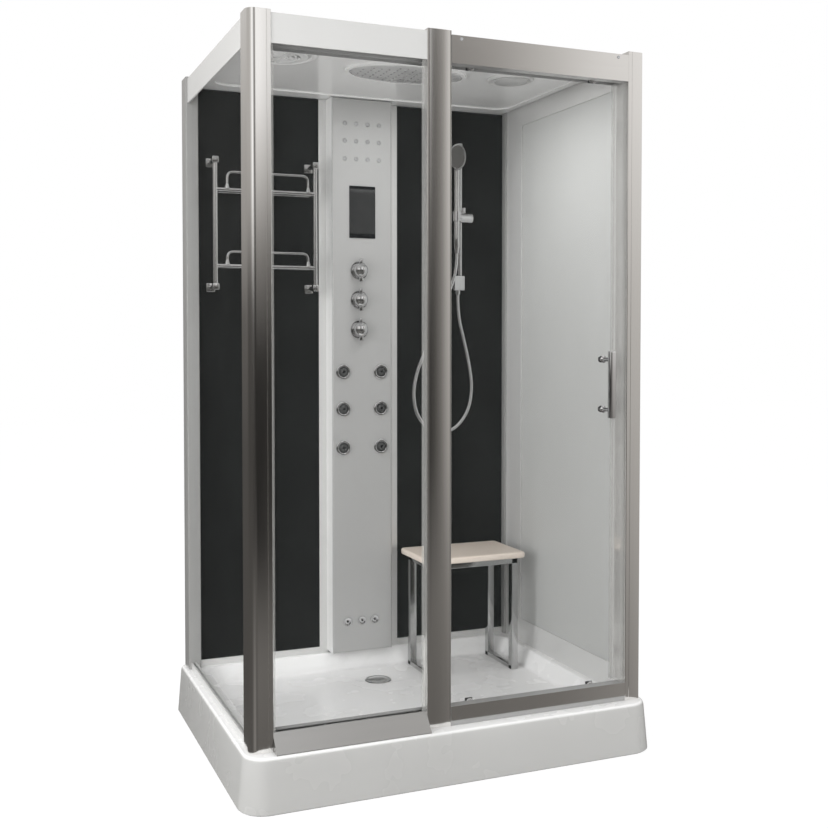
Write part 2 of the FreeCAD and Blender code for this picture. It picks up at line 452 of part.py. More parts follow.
# ---------------------------------------------------------------- base
def tray():
    """One shell: flared skirt, flat rim, basin with a floor, holes for the waste, the pipe and the screws."""
    foot = (-TRAY_WIDTH / 2, TRAY_WIDTH / 2, -TRAY_DEPTH / 2, TRAY_DEPTH / 2)
    rim = (-RIM_X, RIM_X, RIM_FRONT, RIM_BACK)
    outer = drafted_box(foot, rim, (SKIRT_CORNER, BACK_CORNER), RIM_CORNERS, 0, RIM_HEIGHT)
    top_edges = [e for e in outer.Edges if e.BoundBox.ZMin > RIM_HEIGHT - 0.01]
    outer = outer.makeFillet(RIM_ROUND, top_edges)
    wall = TRAY_WALL
    inside = [v - math.copysign(wall, v) for v in foot]
    inside_top = [v - math.copysign(wall + 2, v) for v in rim]
    inside_radii = (SKIRT_CORNER - wall, BACK_CORNER - wall)
    inside_top_radii = [r - wall for r in RIM_CORNERS]
    hollow = drafted_box(inside, inside_top, inside_radii, inside_top_radii, -1, RIM_UNDERSIDE)
    mouth = (-BASIN_HALF_WIDTH, BASIN_HALF_WIDTH, BASIN_FRONT, BASIN_BACK)
    floor = [v - math.copysign(BASIN_DRAFT, v) for v in mouth]
    mouth_out = [v + math.copysign(wall, v) for v in mouth]
    floor_out = [v + math.copysign(wall, v) for v in floor]
    r_mouth, r_floor = BASIN_CORNER, BASIN_CORNER - BASIN_DRAFT
    bowl = drafted_box(floor_out, mouth_out, [r_floor + wall] * 2, [r_mouth + wall] * 2,
                       FLOOR_UNDERSIDE, RIM_UNDERSIDE + 1)
    pocket = drafted_box(floor, mouth, [r_floor] * 2, [r_mouth] * 2, BASIN_FLOOR, RIM_HEIGHT)
    floor_edges = [e for e in pocket.Edges if e.BoundBox.ZMax < BASIN_FLOOR + 0.01]
    pocket = pocket.makeFillet(FLOOR_ROUND, floor_edges)
    shell = outer.cut(hollow).fuse(bowl).cut(pocket)
    shell = shell.cut(rod(0, DRAIN_Y, FLOOR_UNDERSIDE - 1, Z, WASTE_SLEEVE_R + HOLE_CLEARANCE, TRAY_WALL + 2))
    notch_half = PIPE_NOTCH_WIDTH / 2
    shell = shell.cut(box(-notch_half, notch_half, RIM_BACK - 20, TRAY_DEPTH, -1, PIPE_NOTCH_HEIGHT))
    for places in POST_PORTS.values():
        for px, py in places:
            shell = shell.cut(rod(px, py, RIM_UNDERSIDE - 1, Z, SCREW_HOLE_R, TRAY_WALL + 2))
    return shell


def tray_frame():
    """Welded square tubes that carry the basin floor."""
    z1 = FLOOR_UNDERSIDE - SEAT_GAP
    z0 = z1 - FRAME_TUBE
    half = FRAME_TUBE / 2
    front, back = FRAME_FRONT_Y, FRAME_BACK_Y
    bars = [
        box(-FRAME_X - half, FRAME_X + half, front - half, front + half, z0, z1),
        box(-FRAME_X - half, FRAME_X + half, back - half, back + half, z0, z1),
        box(-FRAME_X - half, -FRAME_X + half, front, back, z0, z1),
        box(FRAME_X - half, FRAME_X + half, front, back, z0, z1),
        box(-FRAME_X, FRAME_X, -half, half, z0, z1),
    ]
    inner = half - FRAME_WALL
    frame = fuse(bars)
    for y in (front, 0.0, back):
        frame = frame.cut(box(-FRAME_X - half - 1, FRAME_X + half + 1, y - inner, y + inner,
                              z0 + FRAME_WALL, z1 - FRAME_WALL))
    return frame


def foot_places():
    """XY of the levelling feet under the frame."""
    corners = [(x, y) for x in (-FRAME_X, FRAME_X) for y in (FRAME_FRONT_Y, FRAME_BACK_Y)]
    return corners + [(0.0, FRAME_FRONT_Y)]


def levelling_feet():
    """Pads with a threaded rod and a lock nut under the frame."""
    top = FLOOR_UNDERSIDE - SEAT_GAP - FRAME_TUBE - SEAT_GAP
    feet = []
    for x, y in foot_places():
        pad = rod(x, y, 0, Z, FOOT_PAD_R, FOOT_PAD_THICK)
        stem = rod(x, y, 0, Z, FOOT_ROD_R, top)
        nut = rod(x, y, top - FOOT_NUT_THICK, Z, FOOT_NUT_R, FOOT_NUT_THICK)
        feet.append(fuse([pad, stem, nut]))
    return group(feet)


def drain_trap():
    """Low trap under the floor with a sleeve through it and a stub, and the waste pipe that butts against the stub."""
    flange_top = FLOOR_UNDERSIDE - SEAT_GAP
    cup = rod(0, DRAIN_Y, TRAP_CUP_FOOT, Z, TRAP_CUP_R, flange_top - TRAP_CUP_FOOT)
    sleeve = rod(0, DRAIN_Y, flange_top - 1, Z, WASTE_SLEEVE_R, TRAY_WALL - 1)
    pipe = rod(0, WASTE_PIPE_END - WASTE_PIPE_LENGTH, WASTE_PIPE_Z, Y, WASTE_PIPE_R, WASTE_PIPE_LENGTH)
    link = rod(0, DRAIN_Y, WASTE_PIPE_Z, Y, WASTE_PIPE_R - 2, WASTE_PIPE_END - WASTE_PIPE_LENGTH - DRAIN_Y)
    well = rod(0, DRAIN_Y, TRAP_CUP_FOOT + 4, Z, WASTE_BORE_R, flange_top)
    bore = rod(0, DRAIN_Y, WASTE_PIPE_Z, Y, WASTE_PIPE_R - 5, WASTE_PIPE_END)
    return group([fuse([cup, sleeve, link]).cut(well).cut(bore), pipe.cut(bore)])


def drain_cover():
    """Round cover that drops into the waste, with a ring of slots."""
    z0 = BASIN_FLOOR + SEAT_GAP
    plate = rod(0, DRAIN_Y, z0, Z, DRAIN_COVER_R, COVER_THICK)
    rim = [e for e in plate.Edges if e.BoundBox.ZMin > z0 + COVER_THICK - 0.01]
    plate = plate.makeFillet(COVER_THICK * 0.6, rim)
    collar_r = WASTE_BORE_R - 1.5
    collar = rod(0, DRAIN_Y, z0 - 6, Z, collar_r, 7).cut(rod(0, DRAIN_Y, z0 - 7, Z, collar_r - 3, 7))
    cover = plate.fuse(collar)
    for i in range(8):
        slot = box(10, collar_r - 5, -1.6, 1.6, z0 - 7, z0 + COVER_THICK + 1)
        slot.rotate(V(0, 0, 0), Z, i * 360.0 / 8)
        slot.translate(V(0, DRAIN_Y, 0))
        cover = cover.cut(slot)
    return cover


# ---------------------------------------------------------------- posts
def hollow_post(outline_outer, outline_inner, name):
    """Extruded post with screw ports, closed by a cap in its top."""
    z0 = RIM_HEIGHT
    shell = outline_outer(0, z0, POST_TOP).cut(outline_inner(POST_WALL, z0 - 1, POST_TOP + 1))
    for px, py in POST_PORTS[name]:
        inside = outline_inner(POST_WALL, z0, POST_TOP - CAP_THICK)
        web = box(px - PORT_WEB / 2, px + PORT_WEB / 2, py - PORT_REACH, py + PORT_REACH, z0, POST_TOP)
        port = rod(px, py, z0, Z, SCREW_PORT_R, POST_TOP - CAP_THICK - z0)
        shell = shell.fuse([inside.common(web), port])
        shell = shell.cut(rod(px, py, z0 - 1, Z, SCREW_PORT_BORE, POST_TOP))
    cap = outline_inner(POST_WALL + SEAT_GAP, POST_TOP - CAP_THICK + SEAT_GAP, POST_TOP)
    return shell, cap


def corner_outline(x_outer, x_inner, y_front, y_back, corner):
    """Plan of a front corner post: one large round corner at the outside."""
    side = math.copysign(1.0, x_inner - x_outer)

    def outline(inset, z0, z1):
        xo, xi = x_outer + side * inset, x_inner - side * inset
        yf, yb = y_front + inset, y_back - inset
        r = max(corner - inset, 1.0)
        k = r * (1 - math.sqrt(0.5))
        points = [V(xo, yb, z0), V(xo, yf + r, z0), V(xo + side * k, yf + k, z0), V(xo + side * r, yf, z0),
                  V(xi, yf, z0), V(xi, yb, z0)]
        edges = [
            Part.LineSegment(points[0], points[1]).toShape(),
            Part.Arc(points[1], points[2], points[3]).toShape(),
            Part.LineSegment(points[3], points[4]).toShape(),
            Part.LineSegment(points[4], points[5]).toShape(),
            Part.LineSegment(points[5], points[0]).toShape(),
        ]
        return Part.Face(Part.Wire(edges)).extrude(V(0, 0, z1 - z0))

    return outline


def plain_outline(x0, x1, y0, y1, corner):
    """Plan of a post with four small round corners."""
    def outline(inset, z0, z1):
        r = max(corner - inset, 0.5)
        return rounded_box(x0 + inset, x1 - inset, y0 + inset, y1 - inset, r, z0, z1)

    return outline


def groove_y(y_pane, thick, x0, x1, z0=RIM_HEIGHT, z1=PANE_TOP + 2):
    """Slot for a pane that stands across the width."""
    return box(x0, x1, y_pane - PANE_CLEARANCE, y_pane + thick + PANE_CLEARANCE, z0, z1)


def front_left_post():
    """Corner post with grooves for the fixed pane and the side pane."""
    outline = corner_outline(-CABIN_HALF_WIDTH, FRONT_LEFT_INNER, FRONT_FACE, FRONT_POST_BACK, POST_CORNER_R)
    shell, cap = hollow_post(outline, outline, "front_left_post")
    shell = shell.cut(groove_y(FIXED_PANE_Y, PANE, FRONT_LEFT_INNER - GROOVE_DEPTH - 1, FRONT_LEFT_INNER + 1))
    shell = shell.cut(box(SIDE_PANE_X - PANE_CLEARANCE, SIDE_PANE_X + PANE + PANE_CLEARANCE,
                          FRONT_POST_BACK - GROOVE_DEPTH - 1, FRONT_POST_BACK + 1, RIM_HEIGHT, PANE_TOP + 2))
    return group([shell, cap])


def middle_post():
    """Flat post in front of the door's channel, with a groove for the fixed pane."""
    outline = plain_outline(MIDDLE_LEFT, MIDDLE_RIGHT, FRONT_FACE, MIDDLE_BACK, 4.0)
    shell, cap = hollow_post(outline, outline, "middle_post")
    shell = shell.cut(groove_y(FIXED_PANE_Y, PANE, MIDDLE_LEFT - 1, MIDDLE_LEFT + GROOVE_DEPTH + 1))
    return group([shell, cap])


def front_right_post():
    """Corner post that carries the strike strip."""
    outline = corner_outline(CABIN_HALF_WIDTH, FRONT_RIGHT_INNER, FRONT_FACE, FRONT_POST_BACK, POST_CORNER_R)
    return group(hollow_post(outline, outline, "front_right_post"))


def back_left_post():
    """Rear post with grooves for the side pane and the left back panel."""
    outline = plain_outline(-CABIN_HALF_WIDTH, -BACK_POST_INNER, BACK_POST_FRONT, BACK_POST_BACK, 4.0)
    shell, cap = hollow_post(outline, outline, "back_left_post")
    shell = shell.cut(box(SIDE_PANE_X - PANE_CLEARANCE, SIDE_PANE_X + PANE + PANE_CLEARANCE,
                          BACK_POST_FRONT - 1, BACK_POST_FRONT + GROOVE_DEPTH + 1, RIM_HEIGHT, PANE_TOP + 2))
    shell = shell.cut(groove_y(BACK_PANEL_Y, BACK_PANEL_THICK, -BACK_POST_INNER - GROOVE_DEPTH, -BACK_POST_INNER + 1,
                               RIM_HEIGHT, CEILING))
    return group([shell, cap])


def back_right_post():
    """Rear post with a groove for the right back panel."""
    outline = plain_outline(BACK_POST_INNER, CABIN_HALF_WIDTH, BACK_POST_FRONT, BACK_POST_BACK, 4.0)
    shell, cap = hollow_post(outline, outline, "back_right_post")
    shell = shell.cut(groove_y(BACK_PANEL_Y, BACK_PANEL_THICK, BACK_POST_INNER - 1, BACK_POST_INNER + GROOVE_DEPTH,
                               RIM_HEIGHT, CEILING))
    return group([shell, cap])


# ---------------------------------------------------------------- sill, tracks, profiles
def front_pane_sill():
    """Sloped weather sill from the rim's front edge up to the fixed pane, which stands in its slot."""
    flat_front = CHANNEL_FRONT - SILL_FLAT
    section = [(SILL_FRONT, RIM_HEIGHT), (SILL_FRONT, RIM_HEIGHT + 2), (flat_front, SILL_TOP),
               (CHANNEL_FRONT, SILL_TOP), (CHANNEL_FRONT, RIM_HEIGHT)]
    sill = beam(section, FRONT_LEFT_INNER, MIDDLE_LEFT)
    return sill.cut(groove_y(FIXED_PANE_Y, PANE, FRONT_LEFT_INNER - 1, MIDDLE_LEFT + 1, PANE_FOOT, SILL_TOP + 1))


def door_bottom_track():
    """Open channel for the door's lower wheels, with a front face on the door's half."""
    y0, y1, w = CHANNEL_FRONT, CHANNEL_BACK, TRACK_WALL
    shelf = BOTTOM_SHELF
    section = [
        (y0, RIM_HEIGHT), (y0, BOTTOM_RAIL_TOP), (y0 + w, BOTTOM_RAIL_TOP), (y0 + w, RIM_HEIGHT + w),
        (y1 - w, RIM_HEIGHT + w), (y1 - w, shelf - SHELF_THICK), (TRACK_SLOT_BACK, shelf - SHELF_THICK),
        (TRACK_SLOT_BACK, shelf), (y1 - w, shelf), (y1 - w, shelf + CHANNEL_LIP), (y1, shelf + CHANNEL_LIP), (y1, RIM_HEIGHT),
    ]
    channel = beam(section, FRONT_LEFT_INNER, FRONT_RIGHT_INNER)
    x0, x1 = MIDDLE_RIGHT, FRONT_RIGHT_INNER
    face = box(x0, x1, FRONT_FACE, y0, BOTTOM_RAIL_FOOT, BOTTOM_RAIL_TOP)
    face = face.cut(box(x0 - 1, x1 + 1, FRONT_FACE + w, y0 - w, BOTTOM_RAIL_FOOT + w, BOTTOM_RAIL_TOP - w))
    foot = box(x0, x1, FRONT_FACE + 3, y0, RIM_HEIGHT, BOTTOM_RAIL_FOOT)
    return fuse([channel, face, foot])


def door_top_track():
    """Channel with a shelf for the door's upper wheels, and the header in front of it on the door's half."""
    y0, y1, w = CHANNEL_FRONT, CHANNEL_BACK, TRACK_WALL
    section = [
        (y0, TOP_RAIL_FOOT), (y0, TOP_RAIL_TOP), (y1, TOP_RAIL_TOP), (y1, TOP_RAIL_FOOT), (y1 - w, TOP_RAIL_FOOT),
        (y1 - w, TOP_SHELF - SHELF_THICK), (TRACK_SLOT_BACK, TOP_SHELF - SHELF_THICK), (TRACK_SLOT_BACK, TOP_SHELF),
        (y1 - w, TOP_SHELF), (y1 - w, TOP_RAIL_TOP - w), (y0 + w, TOP_RAIL_TOP - w), (y0 + w, TOP_RAIL_FOOT),
    ]
    channel = beam(section, FRONT_LEFT_INNER, FRONT_RIGHT_INNER)
    x0, x1 = MIDDLE_RIGHT, FRONT_RIGHT_INNER
    header = box(x0, x1, FRONT_FACE, y0, TOP_RAIL_FOOT, TOP_RAIL_TOP)
    header = header.cut(box(x0 - 1, x1 + 1, FRONT_FACE + w, y0 - w, TOP_RAIL_FOOT + w, TOP_RAIL_TOP - w))
    for x, z in header_screws():
        header = header.cut(along_y(x, z, SCREW_HOLE_R, FRONT_FACE - 1, FRONT_FACE + w + 1))
    return fuse([channel, header])


def header_screws():
    """XZ of the two small screws in the header's face."""
    return [(MIDDLE_RIGHT + 30, TOP_RAIL_TOP - 10), (FRONT_RIGHT_INNER - 36, TOP_RAIL_TOP - 10)]


def side_profiles():
    """Left glass channel, the four bars round the right wall panel, and the base strips of the back panels."""
    left_x = SIDE_PANE_X + PANE / 2
    left = box(left_x - SIDE_PROFILE_HALF, left_x + SIDE_PROFILE_HALF, FRONT_POST_BACK, BACK_POST_FRONT,
               RIM_HEIGHT, SIDE_PROFILE_TOP)
    left = left.cut(box(SIDE_PANE_X - PANE_CLEARANCE, SIDE_PANE_X + PANE + PANE_CLEARANCE, FRONT_POST_BACK - 1,
                        BACK_POST_FRONT + 1, PANE_FOOT - SEAT_GAP, SIDE_PROFILE_TOP + 1))
    x0, x1 = RIGHT_FRAME_X0, RIGHT_FRAME_X1
    front, back = FRONT_POST_BACK, BACK_POST_FRONT
    foot, top = RIM_HEIGHT, ROOF_TOP - ROOF_FLANGE - SEAT_GAP
    bars = [
        box(x0, x1, front, RIGHT_WINDOW_FRONT, foot, top),
        box(x0, x1, RIGHT_WINDOW_BACK, back, foot, top),
        box(x0, x1, RIGHT_WINDOW_FRONT, RIGHT_WINDOW_BACK, foot, RIGHT_WINDOW_FOOT),
        box(x0, x1, RIGHT_WINDOW_FRONT, RIGHT_WINDOW_BACK, RIGHT_WINDOW_TOP, top),
    ]
    g = RIGHT_GROOVE
    groove = box(RIGHT_PANEL_X - PANE_CLEARANCE, RIGHT_PANEL_X + PANE + PANE_CLEARANCE, RIGHT_WINDOW_FRONT - g,
                 RIGHT_WINDOW_BACK + g, RIGHT_WINDOW_FOOT - g, RIGHT_WINDOW_TOP + g)
    strips = [
        box(-BACK_POST_INNER, FLANGE_LEFT - SEAT_GAP, BACK_PANEL_Y - 5, BACK_PANEL_Y - SEAT_GAP, RIM_HEIGHT, SIDE_PROFILE_TOP),
        box(FLANGE_RIGHT + SEAT_GAP, BACK_POST_INNER, BACK_PANEL_Y - 5, BACK_PANEL_Y - SEAT_GAP, RIM_HEIGHT, SIDE_PROFILE_TOP),
    ]
    return group([left] + [bar.cut(groove) for bar in bars] + strips)


# ---------------------------------------------------------------- panes and panels
def front_fixed_pane():
    """Clear pane between the left post and the middle post."""
    return box(FRONT_LEFT_INNER - GROOVE_DEPTH, MIDDLE_LEFT + GROOVE_DEPTH, FIXED_PANE_Y, FIXED_PANE_Y + PANE,
               PANE_FOOT + SEAT_GAP, PANE_TOP)


def left_side_pane():
    """Clear pane between the left posts."""
    return box(SIDE_PANE_X, SIDE_PANE_X + PANE, FRONT_POST_BACK - GROOVE_DEPTH, BACK_POST_FRONT + GROOVE_DEPTH,
               PANE_FOOT, PANE_TOP)


def right_wall_panel():
    """Frosted panel in the frame of the right wall."""
    reach = RIGHT_GROOVE - PANE_CLEARANCE
    return box(RIGHT_PANEL_X, RIGHT_PANEL_X + PANE, RIGHT_WINDOW_FRONT - reach, RIGHT_WINDOW_BACK + reach,
               RIGHT_WINDOW_FOOT - RIGHT_GROOVE + SEAT_GAP, RIGHT_WINDOW_TOP + reach)


def back_left_panel():
    """Black panel from the left rear post to the column frame."""
    return box(-BACK_POST_INNER - GROOVE_DEPTH + 2, COLUMN_LEFT - SEAT_GAP, BACK_PANEL_Y, BACK_PANEL_Y + BACK_PANEL_THICK,
               RIM_HEIGHT + SEAT_GAP, CEILING - SEAT_GAP)


def back_right_panel():
    """Black panel from the column frame to the right rear post, with a hole for the hose outlet's stub."""
    panel = box(COLUMN_RIGHT + SEAT_GAP, BACK_POST_INNER + GROOVE_DEPTH - 2, BACK_PANEL_Y, BACK_PANEL_Y + BACK_PANEL_THICK,
                RIM_HEIGHT + SEAT_GAP, CEILING - SEAT_GAP)
    sx, sz = stub_place()
    return panel.cut(along_y(sx, sz, STUB_R + 1, BACK_PANEL_Y - 1, BACK_PANEL_Y + BACK_PANEL_THICK + 1))


def pane_seals():
    """Strips beside the posts in front of the fixed pane, and the strike strip of the door."""
    z0, z1 = SILL_TOP + SEAT_GAP, ROOF_FOOT
    y1 = FIXED_PANE_Y - SEAT_GAP
    beside_middle = box(MIDDLE_LEFT - 11, MIDDLE_LEFT - SEAT_GAP, y1 - 8, y1, z0, z1)
    beside_left = box(FRONT_LEFT_INNER + SEAT_GAP, FRONT_LEFT_INNER + 8, y1 - 8, y1, z0, z1)
    strike = box(FRONT_RIGHT_INNER - STRIKE_THICK, FRONT_RIGHT_INNER - SEAT_GAP, FRONT_FACE + 10, CHANNEL_BACK - 8,
                 BOTTOM_RAIL_TOP + SEAT_GAP, TOP_RAIL_FOOT - SEAT_GAP)
    return group([beside_middle, beside_left, strike])


# ---------------------------------------------------------------- door
def door_pane():
    """Clear sliding pane with holes for the roller bolts and the handle."""
    pane = box(DOOR_LEFT, DOOR_RIGHT, DOOR_PANE_Y, DOOR_PANE_BACK, DOOR_FOOT, DOOR_TOP)
    holes = [(x, z, BOLT_R) for x in ROLLER_XS for z in (TOP_BOLT_Z, BOTTOM_BOLT_Z)]
    holes += [(HANDLE_X, z, STANDOFF_R) for z in handle_heights()]
    for x, z, r in holes:
        pane = pane.cut(along_y(x, z, r + HOLE_CLEARANCE, DOOR_PANE_Y - 1, DOOR_PANE_BACK + 1))
    return pane


def door_edge_seal():
    """Seal round the closing edge, and the lip on the trailing edge."""
    middle = DOOR_PANE_Y + PANE / 2
    z0, z1 = BOTTOM_RAIL_TOP + 4, TOP_RAIL_FOOT - 4
    seal = box(EDGE_SEAL_LEFT, EDGE_SEAL_RIGHT, middle - EDGE_SEAL_THICK / 2, middle + EDGE_SEAL_THICK / 2, z0, z1)
    seal = seal.cut(box(EDGE_SEAL_LEFT - 1, DOOR_RIGHT + SEAT_GAP, DOOR_PANE_Y - SEAT_GAP, DOOR_PANE_BACK + SEAT_GAP,
                        z0 - 1, z1 + 1))
    lip_front = DOOR_PANE_Y - SEAT_GAP
    lip = box(DOOR_LEFT, DOOR_LEFT + LIP_SEAL_WIDTH, lip_front - LIP_SEAL_THICK, lip_front, z0, z1)
    return group([seal, lip])


def handle_heights():
    """Heights of the handle's two standoffs."""
    middle = HANDLE_FOOT + HANDLE_LENGTH / 2
    return (middle - HANDLE_SPACING / 2, middle + HANDLE_SPACING / 2)


def door_handle():
    """Flat bar on two standoffs through the glass, with rosettes on the inside."""
    bar_back = DOOR_PANE_Y - HANDLE_STANDOFF
    bar = box(HANDLE_X - HANDLE_WIDTH / 2, HANDLE_X + HANDLE_WIDTH / 2, bar_back - HANDLE_THICK, bar_back,
              HANDLE_FOOT, HANDLE_FOOT + HANDLE_LENGTH)
    bar = bar.makeFillet(2.0, bar.Edges)
    parts = [bar]
    for z in handle_heights():
        parts.append(along_y(HANDLE_X, z, STANDOFF_R, bar_back - 1, DOOR_PANE_BACK + SEAT_GAP + 1))
        parts.append(along_y(HANDLE_X, z, ROSETTE_R, DOOR_PANE_Y - SEAT_GAP - 3, DOOR_PANE_Y - SEAT_GAP))
        parts.append(along_y(HANDLE_X, z, ROSETTE_R, DOOR_PANE_BACK + SEAT_GAP, DOOR_PANE_BACK + SEAT_GAP + ROSETTE_THICK))
    return fuse(parts)


def roller_places():
    """Name, x, bolt height, axle height and wheel radius of the four rollers."""
    left, right = ROLLER_XS
    return (
        ("top_left_roller", left, TOP_BOLT_Z, UPPER_AXLE_Z, WHEEL_R),
        ("top_right_roller", right, TOP_BOLT_Z, UPPER_AXLE_Z, WHEEL_R),
        ("bottom_left_roller", left, BOTTOM_BOLT_Z, LOWER_AXLE_Z, LOWER_WHEEL_R),
        ("bottom_right_roller", right, BOTTOM_BOLT_Z, LOWER_AXLE_Z, LOWER_WHEEL_R),
    )


def roller_brackets():
    """Plate behind the glass, clamped by a domed bolt through it, with the wheel's axle."""
    plate_front = DOOR_PANE_BACK + SEAT_GAP
    plate_back = DOOR_PANE_BACK + BRACKET_THICK
    cap_back = DOOR_PANE_Y - SEAT_GAP
    solids = []
    for _, x, bolt_z, axle_z, _ in roller_places():
        low, high = min(bolt_z, axle_z) - 9, max(bolt_z, axle_z) + 11
        plate = box(x - BRACKET_HALF_WIDTH, x + BRACKET_HALF_WIDTH, plate_front, plate_back, low, high)
        bolt = along_y(x, bolt_z, BOLT_R, cap_back - 1, plate_front + 1)
        cap = along_y(x, bolt_z, BOLT_HEAD_R, cap_back - BOLT_HEAD, cap_back)
        rim = [e for e in cap.Edges if e.BoundBox.YMax < cap_back - BOLT_HEAD + 0.01]
        cap = cap.makeFillet(BOLT_HEAD * 0.7, rim)
        axle = along_y(x, axle_z, AXLE_R, plate_back - 1, WHEEL_BACK + 1.5)
        collar = along_y(x, axle_z, AXLE_R + 2, plate_back - 1, WHEEL_BACK - WHEEL_THICK - SEAT_GAP)
        solids.append(fuse([plate, bolt, cap, axle, collar]))
    return group(solids)


def roller(index):
    """One grooved wheel on its axle."""
    _, x, _, z, radius = roller_places()[index]
    wheel = along_y(x, z, radius, WHEEL_BACK - WHEEL_THICK, WHEEL_BACK)
    return wheel.cut(along_y(x, z, AXLE_R + AXLE_FIT, WHEEL_BACK - WHEEL_THICK - 1, WHEEL_BACK + 1))


# ---------------------------------------------------------------- equipment column
def column_frame():
    """Tray-shaped frame behind the column panel: flanges, side walls and a back plate with pipe holes."""
    z0, z1 = RIM_HEIGHT + SEAT_GAP, CEILING - SEAT_GAP
    w = COLUMN_SHEET
    flange_back = FLANGE_FACE + FLANGE_THICK
    section = [
        (FLANGE_LEFT, FLANGE_FACE), (COLUMN_LEFT + w, FLANGE_FACE), (COLUMN_LEFT + w, FRAME_BACK_FACE),
        (COLUMN_RIGHT - w, FRAME_BACK_FACE), (COLUMN_RIGHT - w, FLANGE_FACE), (FLANGE_RIGHT, FLANGE_FACE),
        (FLANGE_RIGHT, flange_back), (COLUMN_RIGHT, flange_back), (COLUMN_RIGHT, COLUMN_BACK),
        (COLUMN_LEFT, COLUMN_BACK), (COLUMN_LEFT, flange_back), (FLANGE_LEFT, flange_back),
    ]
    frame = prism(section, z0, z1)
    for z in (VALVE_ZS[0], VALVE_ZS[-1]):
        frame = frame.cut(along_y(VALVE_X, z, INLET_R + UNION_CLEARANCE, FRAME_BACK_FACE - 1, COLUMN_BACK + 1))
    _, z = stub_place()
    return frame.cut(rod(COLUMN_RIGHT - w - 1, hose_pipe_y(), z, X, PIPE_R + HOLE_CLEARANCE, w + 2))


def column_panel():
    """Folded sheet with side walls, closed at the foot, with a hole for everything that passes through."""
    back = FLANGE_FACE - SEAT_GAP
    x0, x1, w = COLUMN_LEFT, COLUMN_RIGHT, COLUMN_SHEET
    outer = box(x0, x1, COLUMN_FACE, back, COLUMN_FOOT, COLUMN_TOP)
    fronts = [e for e in outer.Edges if e.BoundBox.YMax < COLUMN_FACE + 0.01]
    outer = outer.makeFillet(COLUMN_EDGE_R, fronts)
    panel = outer.cut(box(x0 + w, x1 - w, COLUMN_INSIDE, back + 1, COLUMN_FOOT + w, COLUMN_TOP - w))
    lip = DISPLAY_LIP - HOLE_CLEARANCE
    cuts = [box(DISPLAY_X0 + lip, DISPLAY_X1 - lip, COLUMN_FACE - 1, COLUMN_INSIDE + 1, DISPLAY_Z0 + lip, DISPLAY_Z1 - lip)]
    round_holes = [(VALVE_X, z, VALVE_NOSE_R) for z in VALVE_ZS]
    round_holes += [(x, z, JET_TUBE_R) for x in JET_XS for z in JET_ZS]
    round_holes += [(x, z, SPRAY_STEM_R) for x in SPRAY_XS for z in SPRAY_ZS]
    round_holes += [(x, OUTLET_Z, OUTLET_STEM_R) for x in OUTLET_XS]
    cuts += [along_y(x, z, r + HOLE_CLEARANCE, COLUMN_FACE - 1, COLUMN_INSIDE + 1) for x, z, r in round_holes]
    notch = PIPE_R + 1
    cuts.append(box(VALVE_X - notch, VALVE_X + notch, PIPE_Y - notch, back + 1, COLUMN_TOP - w - 1, COLUMN_TOP + 1))
    return panel.cut(cuts)


def touch_panel():
    """Glass-fronted control panel with its body behind the cut-out."""
    glass = box(DISPLAY_X0, DISPLAY_X1, COLUMN_FACE - DISPLAY_PROUD - SEAT_GAP, COLUMN_FACE - SEAT_GAP, DISPLAY_Z0, DISPLAY_Z1)
    lip = DISPLAY_LIP
    body = box(DISPLAY_X0 + lip, DISPLAY_X1 - lip, COLUMN_FACE - SEAT_GAP - 0.5, COLUMN_FACE + DISPLAY_BODY_DEPTH,
               DISPLAY_Z0 + lip, DISPLAY_Z1 - lip)
    return fuse([glass, body])


def mixer_valve():
    """Three valve bodies on a manifold, with noses, rosettes and spindles in front and two inlets behind."""
    rosette_back = COLUMN_FACE - SEAT_GAP
    rosette_front = rosette_back - ROSETTE_DISC_THICK
    parts = [rod(VALVE_X, PIPE_Y, VALVE_ZS[-1] - 26, Z, MANIFOLD_R, VALVE_ZS[0] - VALVE_ZS[-1] + 52)]
    for z in VALVE_ZS:
        parts.append(along_y(VALVE_X, z, VALVE_R, COLUMN_INSIDE + SEAT_GAP, VALVE_BACK))
        parts.append(along_y(VALVE_X, z, VALVE_NOSE_R, rosette_front + 1, COLUMN_INSIDE + 1))
        parts.append(along_y(VALVE_X, z, ROSETTE_DISC_R, rosette_front, rosette_back))
        parts.append(along_y(VALVE_X, z, SPINDLE_R, SPINDLE_FRONT, rosette_front + 1))
    for z in (VALVE_ZS[0], VALVE_ZS[-1]):
        parts.append(along_y(VALVE_X, z, INLET_R, VALVE_BACK - 1, INLET_END))
        parts.append(along_y(VALVE_X, z, INLET_R + 5, VALVE_BACK - 1, FRAME_BACK_FACE - SEAT_GAP))
    return fuse(parts)


def knob(index):
    """Round knob with a tab above and below, on its valve's spindle."""
    z = VALVE_ZS[index]
    back = COLUMN_FACE - SEAT_GAP - ROSETTE_DISC_THICK - SEAT_GAP
    front = back - KNOB_DEPTH
    hub = along_y(VALVE_X, z, KNOB_R, front, back)
    hub = hub.makeFillet(6.0, [e for e in hub.Edges if e.BoundBox.YMax < front + 0.01])
    tab = box(VALVE_X - KNOB_TAB_HALF, VALVE_X + KNOB_TAB_HALF, front + 6, back - 8, z - KNOB_SPAN / 2, z + KNOB_SPAN / 2)
    tab = tab.makeFillet(4.0, tab.Edges)
    body = fuse([hub, tab])
    return body.cut(along_y(VALVE_X, z, SPINDLE_R + AXLE_FIT, SPINDLE_FRONT - 1, back + 1))


def jet_places():
    """XZ of the six body jets, left column first, top to bottom."""
    return [(x, z) for x in JET_XS for z in JET_ZS]


